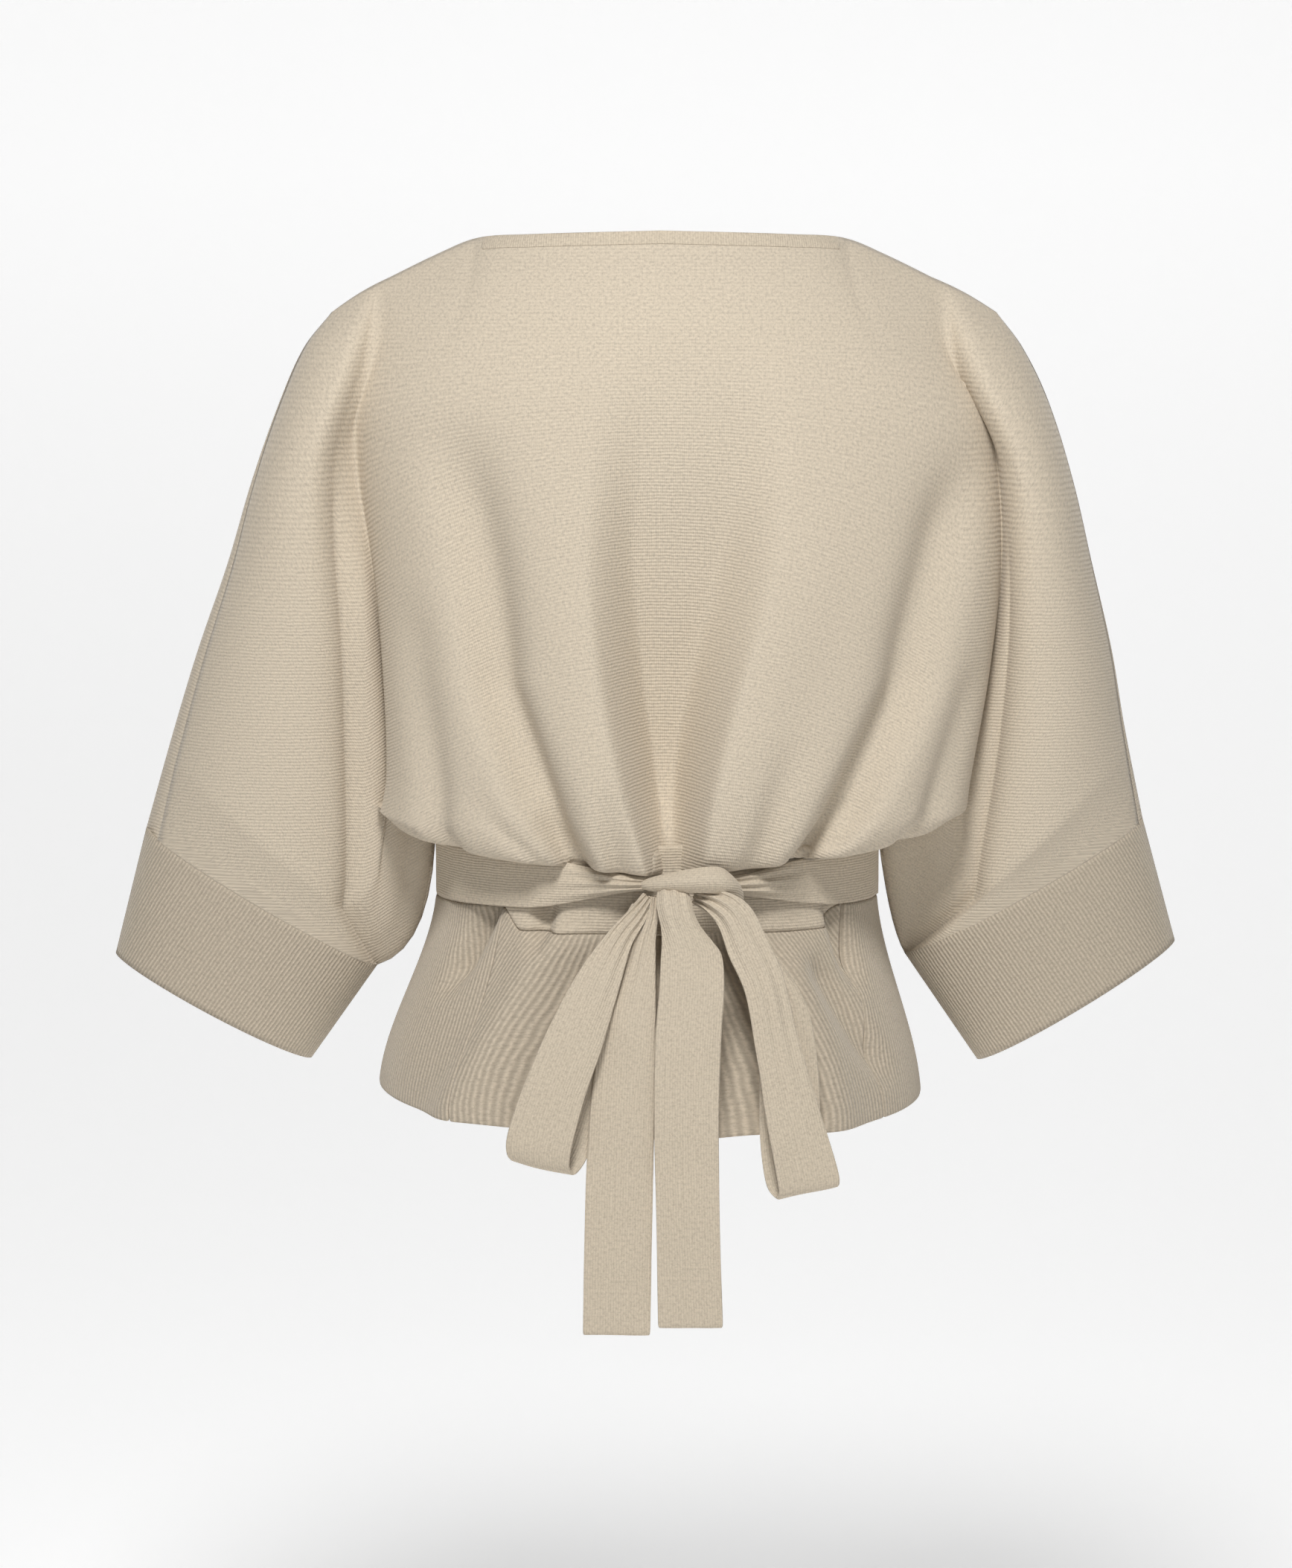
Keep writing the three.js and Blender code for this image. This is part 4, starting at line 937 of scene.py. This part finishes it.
def stretch_rows(rows):
    """Ribbon rows of a stretch of the tie that lies round the waist."""
    placed = []
    for row in rows:
        angle = math.radians(row["angle"])
        half = WAIST["left"] if row["angle"] < 0 else WAIST["right"]
        stand = TIE_WALL + TIE_STAND + row["away"]
        placed.append({
            "x": (half + stand) * math.sin(angle),
            "y": -(WAIST["depth"] + stand) * math.cos(angle),
            "z": row["z"],
            "width": row["width"],
            "tilt": 90 if row["angle"] < 0 else -90,
            "turn": 0,
            "camber": row["camber"],
        })
    return placed


def lengths_along(points):
    lengths = [0.0]
    for before, after in zip(points, points[1:]):
        lengths.append(lengths[-1] + (after - before).length)
    return lengths


def cloth(name, grid, material, nodes, *, closed=False,
          outward=1, wall=WALL, smooth=1, uv=None):
    """A thin shell from a grid of points in millimetres, with a map in millimetres of cloth."""
    rows = len(grid)
    columns = len(grid[0])
    points = [tuple(point * MM) for row in grid for point in row]
    faces = []
    for i in range(rows - 1):
        for j in range(columns if closed else columns - 1):
            k = (j + 1) % columns
            face = (i * columns + j, i * columns + k, (i + 1) * columns + k, (i + 1) * columns + j)
            faces.append(face if outward > 0 else face[::-1])
    mesh = bpy.data.meshes.new(name)
    mesh.from_pydata(points, [], faces)
    mesh.update()
    if uv is None:
        across = [lengths_along(row) for row in grid]
        middle = columns // 2
        middle_column = lengths_along([row[middle] for row in grid])
        uv = [
            [(across[i][j] - across[i][middle], -middle_column[i]) for j in range(columns)]
            for i in range(rows)
        ]
    layer = mesh.uv_layers.new(name="cloth")
    flat_uv = [pair for row in uv for pair in row]
    around = lengths_along(grid[0] + [grid[0][0]])[-1] * MM
    for polygon in mesh.polygons:
        for loop_index in polygon.loop_indices:
            vertex = mesh.loops[loop_index].vertex_index
            u, v = flat_uv[vertex]
            layer.data[loop_index].uv = (u * MM, v * MM)
        if closed:
            values = [layer.data[index].uv[0] for index in polygon.loop_indices]
            if max(values) - min(values) > around / 2:
                for index in polygon.loop_indices:
                    if layer.data[index].uv[0] < 0:
                        layer.data[index].uv[0] += around
        polygon.use_smooth = True
    piece = bpy.data.objects.new(name, mesh)
    bpy.context.collection.objects.link(piece)
    shell = piece.modifiers.new("wall", "SOLIDIFY")
    shell.thickness = wall * MM
    shell.offset = -1
    if smooth:
        subdivision = piece.modifiers.new("smooth", "SUBSURF")
        subdivision.levels = smooth
        subdivision.render_levels = smooth
    mesh.materials.append(material)
    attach(piece, "root")
    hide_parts(*nodes)
    return piece


class Nodes:
    """Short names for building a node material."""

    def __init__(self, name):
        self.material = bpy.data.materials.new(name)
        self.material.use_nodes = True
        self.tree = self.material.node_tree
        self.shader = self.tree.nodes["Principled BSDF"]

    def add(self, kind, **values):
        node = self.tree.nodes.new(kind)
        for key, value in values.items():
            setattr(node, key, value)
        return node

    def link(self, source, target):
        self.tree.links.new(source, target)

    def value(self, operation, *sources):
        node = self.add("ShaderNodeMath", operation=operation)
        for slot, source in zip(node.inputs, sources):
            if isinstance(source, (int, float)):
                slot.default_value = source
            else:
                self.link(source, slot)
        return node.outputs[0]

    def noise(self, vector, scale, detail=2.0, roughness=0.5):
        node = self.add("ShaderNodeTexNoise")
        node.inputs["Scale"].default_value = scale
        node.inputs["Detail"].default_value = detail
        node.inputs["Roughness"].default_value = roughness
        self.link(vector, node.inputs["Vector"])
        return node.outputs["Fac"]

    def colours(self, factor, stops):
        ramp = self.add("ShaderNodeValToRGB")
        elements = ramp.color_ramp.elements
        elements[0].position, elements[0].color = stops[0][0], (*stops[0][1], 1)
        elements[1].position, elements[1].color = stops[-1][0], (*stops[-1][1], 1)
        for position, colour in stops[1:-1]:
            elements.new(position).color = (*colour, 1)
        self.link(factor, ramp.inputs["Fac"])
        return ramp.outputs["Color"]

    def mixed(self, factor, first, second, blend="MIX"):
        node = self.add("ShaderNodeMix", data_type="RGBA", blend_type=blend)
        if isinstance(factor, (int, float)):
            node.inputs[0].default_value = factor
        else:
            self.link(factor, node.inputs[0])
        for slot, source in ((node.inputs[6], first), (node.inputs[7], second)):
            if isinstance(source, tuple):
                slot.default_value = (*source, 1)
            else:
                self.link(source, slot)
        return node.outputs[2]


# The knit's surface: scales are per metre of cloth and depths in millimetres
WANDER = {"scale": 90, "distance": 1.2}
FUZZ = {"scale": 2400, "depth": 0.1}
HEATHER_SCALE = 560
HEATHER_LIGHT = 1.13
BROAD = {"scale": 26, "share": 0.12}
# Painted shade: how dark the grooves between wales and courses get, as a share of the dark yarn's colour
GROOVE_SHADE_DARK = 0.62


def knit_material(name, light, dark, *, wale, wale_depth, course, course_depth, groove_shade, course_groove_shade):
    """Fine knit: ridges along the wales and across the courses, heathered yarn, soft fuzz, and painted
    shade in the grooves between wales and between courses.
    """
    nodes = Nodes(name)
    uv = nodes.add("ShaderNodeUVMap", uv_map="cloth")
    split = nodes.add("ShaderNodeSeparateXYZ")
    nodes.link(uv.outputs["UV"], split.inputs[0])
    u, v = split.outputs["X"], split.outputs["Y"]
    wander = nodes.noise(uv.outputs["UV"], WANDER["scale"], 1.0)
    shift = nodes.value("MULTIPLY", nodes.value("SUBTRACT", wander, 0.5), WANDER["distance"] * MM)
    u_turns = nodes.value("MULTIPLY", nodes.value("ADD", u, shift), 2 * math.pi / (wale * MM))
    v_turns = nodes.value("MULTIPLY", nodes.value("ADD", v, shift), 2 * math.pi / (course * MM))
    wale_wave = nodes.value("MULTIPLY_ADD", nodes.value("COSINE", u_turns), 0.5, 0.5)
    course_wave = nodes.value("MULTIPLY_ADD", nodes.value("COSINE", v_turns), 0.5, 0.5)
    fine = nodes.noise(uv.outputs["UV"], FUZZ["scale"], 3.0, 0.7)
    height = nodes.value("MULTIPLY", wale_wave, wale_depth)
    height = nodes.value("ADD", height, nodes.value("MULTIPLY", course_wave, course_depth))
    height = nodes.value("ADD", height, nodes.value("MULTIPLY", fine, FUZZ["depth"]))
    bump = nodes.add("ShaderNodeBump")
    bump.inputs["Distance"].default_value = MM
    bump.inputs["Strength"].default_value = 1.0
    nodes.link(height, bump.inputs["Height"])
    heather = nodes.noise(uv.outputs["UV"], HEATHER_SCALE, 4.0, 0.75)
    lightest = tuple(min(1, part * HEATHER_LIGHT) for part in light)
    yarn = nodes.colours(heather, ((0.36, dark), (0.5, light), (0.66, lightest)))
    broad = nodes.noise(uv.outputs["UV"], BROAD["scale"], 2.0)
    yarn = nodes.mixed(nodes.value("MULTIPLY", broad, BROAD["share"]), yarn, dark)
    # Painted shade in the grooves: the yarn is darkened towards the foot of each wale and each course
    shade = nodes.value("MULTIPLY", nodes.value("SUBTRACT", 1.0, wale_wave), groove_shade)
    course_shade = nodes.value("MULTIPLY", nodes.value("SUBTRACT", 1.0, course_wave), course_groove_shade)
    shade = nodes.value("ADD", shade, course_shade)
    yarn = nodes.mixed(shade, yarn, tuple(part * GROOVE_SHADE_DARK for part in dark))
    nodes.link(yarn, nodes.shader.inputs["Base Color"])
    nodes.link(bump.outputs["Normal"], nodes.shader.inputs["Normal"])
    nodes.shader.inputs["Roughness"].default_value = 0.92
    nodes.shader.inputs["Specular IOR Level"].default_value = 0.18
    nodes.shader.inputs["Sheen Weight"].default_value = 0.25
    nodes.shader.inputs["Sheen Roughness"].default_value = 0.45
    nodes.shader.inputs["Sheen Tint"].default_value = (1.0, 0.95, 0.87, 1)
    return nodes.material


PLAIN = knit_material(
    "plain knit", (0.585, 0.505, 0.395), (0.455, 0.395, 0.315),
    wale=1.3, wale_depth=0.05, course=2.0, course_depth=0.22, groove_shade=0.04, course_groove_shade=0.12,
)
RIB = knit_material(
    "rib knit", (0.545, 0.465, 0.36), (0.42, 0.36, 0.28),
    wale=2.45, wale_depth=0.45, course=1.6, course_depth=0.05, groove_shade=0.5, course_groove_shade=0.03,
)
BAND = knit_material(
    "waistband knit", (0.57, 0.49, 0.38), (0.45, 0.385, 0.30),
    wale=1.3, wale_depth=0.04, course=1.7, course_depth=0.22, groove_shade=0.04, course_groove_shade=0.18,
)
TIE = knit_material(
    "tie knit", (0.57, 0.49, 0.38), (0.45, 0.385, 0.30),
    wale=1.55, wale_depth=0.18, course=1.3, course_depth=0.05, groove_shade=0.18, course_groove_shade=0.03,
)


# How the courses arch: rise for each square millimetre out from the middle, as far as a limit, and
# the drop below the shoulders over which the arch comes in
COURSE_ARCH = {"rise": 0.0018, "limit": 180, "from": 40, "run": 200}


def course_height(point):
    out = min(abs(point.x), COURSE_ARCH["limit"])
    drawn = ease((-point.z - COURSE_ARCH["from"]) / COURSE_ARCH["run"])
    return point.z + COURSE_ARCH["rise"] * out**2 * drawn


def course_map(grid):
    """Map of a bodice panel: the courses arch over the back and front, as the cloth is drawn in."""
    mapped = []
    for row in grid:
        lengths = lengths_along(row)
        middle = min(range(len(row)), key=lambda j: abs(row[j].x))
        mapped.append([
            (lengths[j] - lengths[middle], course_height(point))
            for j, point in enumerate(row)
        ])
    return mapped


# The trims: grid rows and columns of the panel that they cover, how far they stand off it, and their
# wall
NECK_ROWS = 4
TRIM_COLUMNS = 3
TRIM_LIFT = 0.4
TRIM_WALL = 0.7


def build_bodice():
    back = panel(back_stations(), BACK_CREASES)
    cloth("back_panel_knit", back, PLAIN, ["back_panel"],
          outward=-1, smooth=0, uv=course_map(back))
    fronts = {}
    for side, name in ((1, "right"), (-1, "left")):
        fronts[side] = panel(front_stations(side), {})
        cloth(f"{name}_front_knit", fronts[side], PLAIN, [f"front_panel_{name}"],
              outward=side, smooth=0, uv=course_map(fronts[side]))
    neck = [j for j, point in enumerate(back[0]) if abs(point.x) < NECK_HALF - 3]
    neck_grid = [[row[j] for j in neck] for row in back[:NECK_ROWS]]
    lifted_edge("neck_trim_knit", neck_grid, "neck_trim", -1)
    for side, name in ((1, "right"), (-1, "left")):
        edge = [row[:TRIM_COLUMNS] for row in fronts[side][:-1]]
        lifted_edge(f"{name}_front_trim_knit", edge, f"front_trim_{name}", side)
    for side, name in ((-1, "left"), (1, "right")):
        grid = cuff_grid(side, 220, 20)
        cloth(f"{name}_cuff_knit", grid, RIB, [f"cuff_{name}"],
              closed=True, outward=side, smooth=0)


def lifted_edge(name, grid, node, outward):
    """Narrow trim over the edge of a panel."""
    rows = len(grid)
    columns = len(grid[0])
    lifted = []
    for i, row in enumerate(grid):
        new = []
        for j, point in enumerate(row):
            along = row[min(j + 1, columns - 1)] - row[max(j - 1, 0)]
            down = grid[min(i + 1, rows - 1)][j] - grid[max(i - 1, 0)][j]
            normal = along.cross(down).normalized() * outward
            new.append(point + normal * TRIM_LIFT)
        lifted.append(new)
    cloth(name, lifted, TIE, [node], wall=TRIM_WALL, outward=outward)


def build_waist():
    """Waistband and peplum, each in three pieces with their flat sizes."""
    spans = (
        ("back", BACK_SPAN, 1, (0.235, 0.052), (0.27, 0.12)),
        ("right", RIGHT_SPAN, 1, (0.36, 0.040), (0.46, 0.12)),
        ("left", LEFT_SPAN, -1, (0.36, 0.040), (0.46, 0.12)),
    )
    for name, span, side, band_flat, peplum_flat in spans:
        band, mapped = skirt_grid(span, side, 10, 90, False)
        cloth(f"{name}_waistband_knit", band, BAND, [f"waistband_{name}"],
              outward=-side, uv=mapped)
        peplum, mapped = skirt_grid(span, side, 36, 150, True)
        cloth(f"{name}_peplum_knit", peplum, RIB, [f"peplum_{name}"],
              outward=-side, uv=mapped)


def build_bow():
    """Pieces of the tie: rows, CAD node, flat size and height of the pleats."""
    pieces = (
        ("left_tie_knit", stretch_rows(STRETCHES["left"]), "tie_left", (0.15, 0.034), 1.3),
        ("right_tie_knit", stretch_rows(STRETCHES["right"]), "tie_right", (0.14, 0.034), 1.6),
        ("knot_knit", KNOT, "bow_knot", (0.07, 0.018), 0.0),
        ("left_loop_knit", LEFT_LOOP, "bow_loop_left", (0.033, 0.30), 1.3),
        ("right_loop_knit", RIGHT_LOOP, "bow_loop_right", (0.034, 0.33), 2.2),
        ("left_tail_knit", LEFT_TAIL, "tail_left", (0.036, 0.26), 0.8),
        ("right_tail_knit", RIGHT_TAIL, "tail_right", (0.038, 0.27), 1.2),
    )
    for seed, (name, rows, node, flat, pleats) in enumerate(pieces):
        grid = ribbon_grid(rows, seed, pleats)
        cloth(name, grid, TIE, [node], outward=-1, wall=TIE_WALL)


def build_stage():
    """A pale floor that curves up into a pale wall."""
    near, bend, height, radius, top, half_width = -3.0, 1.6, -1.1, 1.2, 3.5, 5.0
    profile = [(near, height), (bend, height)]
    for i in range(1, 13):
        angle = math.radians(90 * i / 12)
        profile.append((bend + radius * math.sin(angle), height + radius - radius * math.cos(angle)))
    profile.append((bend + radius, top))
    points = []
    faces = []
    for y, z in profile:
        points += [(-half_width, y, z), (half_width, y, z)]
    for i in range(len(profile) - 1):
        faces.append((2 * i, 2 * i + 1, 2 * i + 3, 2 * i + 2))
    mesh = bpy.data.meshes.new("floor")
    mesh.from_pydata(points, [], faces)
    for polygon in mesh.polygons:
        polygon.use_smooth = True
    floor = bpy.data.objects.new("floor", mesh)
    bpy.context.collection.objects.link(floor)
    material = bpy.data.materials.new("pale floor")
    material.use_nodes = True
    shader = material.node_tree.nodes["Principled BSDF"]
    shader.inputs["Base Color"].default_value = (0.9, 0.9, 0.9, 1)
    shader.inputs["Roughness"].default_value = 1.0
    shader.inputs["Specular IOR Level"].default_value = 0.0
    shader.inputs["Emission Color"].default_value = (1, 1, 1, 1)
    shader.inputs["Emission Strength"].default_value = 0.4
    mesh.materials.append(material)


def area_light(name, place, aim, size, power):
    data = bpy.data.lights.new(name, "AREA")
    data.shape = "DISK"
    data.size = size
    data.energy = power
    light = bpy.data.objects.new(name, data)
    light.location = place
    light.rotation_euler = (Vector(aim) - Vector(place)).to_track_quat("-Z", "Y").to_euler()
    bpy.context.collection.objects.link(light)


def build_light():
    middle = (0, 0, -0.30)
    area_light("key light", (-0.15, -1.75, 1.6), middle, 0.7, 60)
    area_light("fill light", (0.5, -2.5, 0.1), middle, 0.9, 9)
    world = bpy.data.worlds.new("studio")
    world.use_nodes = True
    background = world.node_tree.nodes["Background"]
    background.inputs["Color"].default_value = (1, 1, 1, 1)
    background.inputs["Strength"].default_value = 0.1
    bpy.context.scene.world = world
    bpy.context.scene.view_settings.view_transform = "Standard"


def build_camera():
    place = Vector((-0.009, -2.75, -0.030))
    aim = Vector((-0.009, 0.0, -0.341))
    frame_height = 0.969
    data = bpy.data.cameras.new("camera")
    data.sensor_width = 36
    data.lens = 36 * (aim - place).length / frame_height
    camera = bpy.data.objects.new("camera", data)
    camera.location = place
    camera.rotation_euler = (aim - place).to_track_quat("-Z", "Y").to_euler()
    bpy.context.collection.objects.link(camera)
    bpy.context.scene.camera = camera


build_bodice()
build_waist()
build_bow()
build_stage()
build_light()
build_camera()
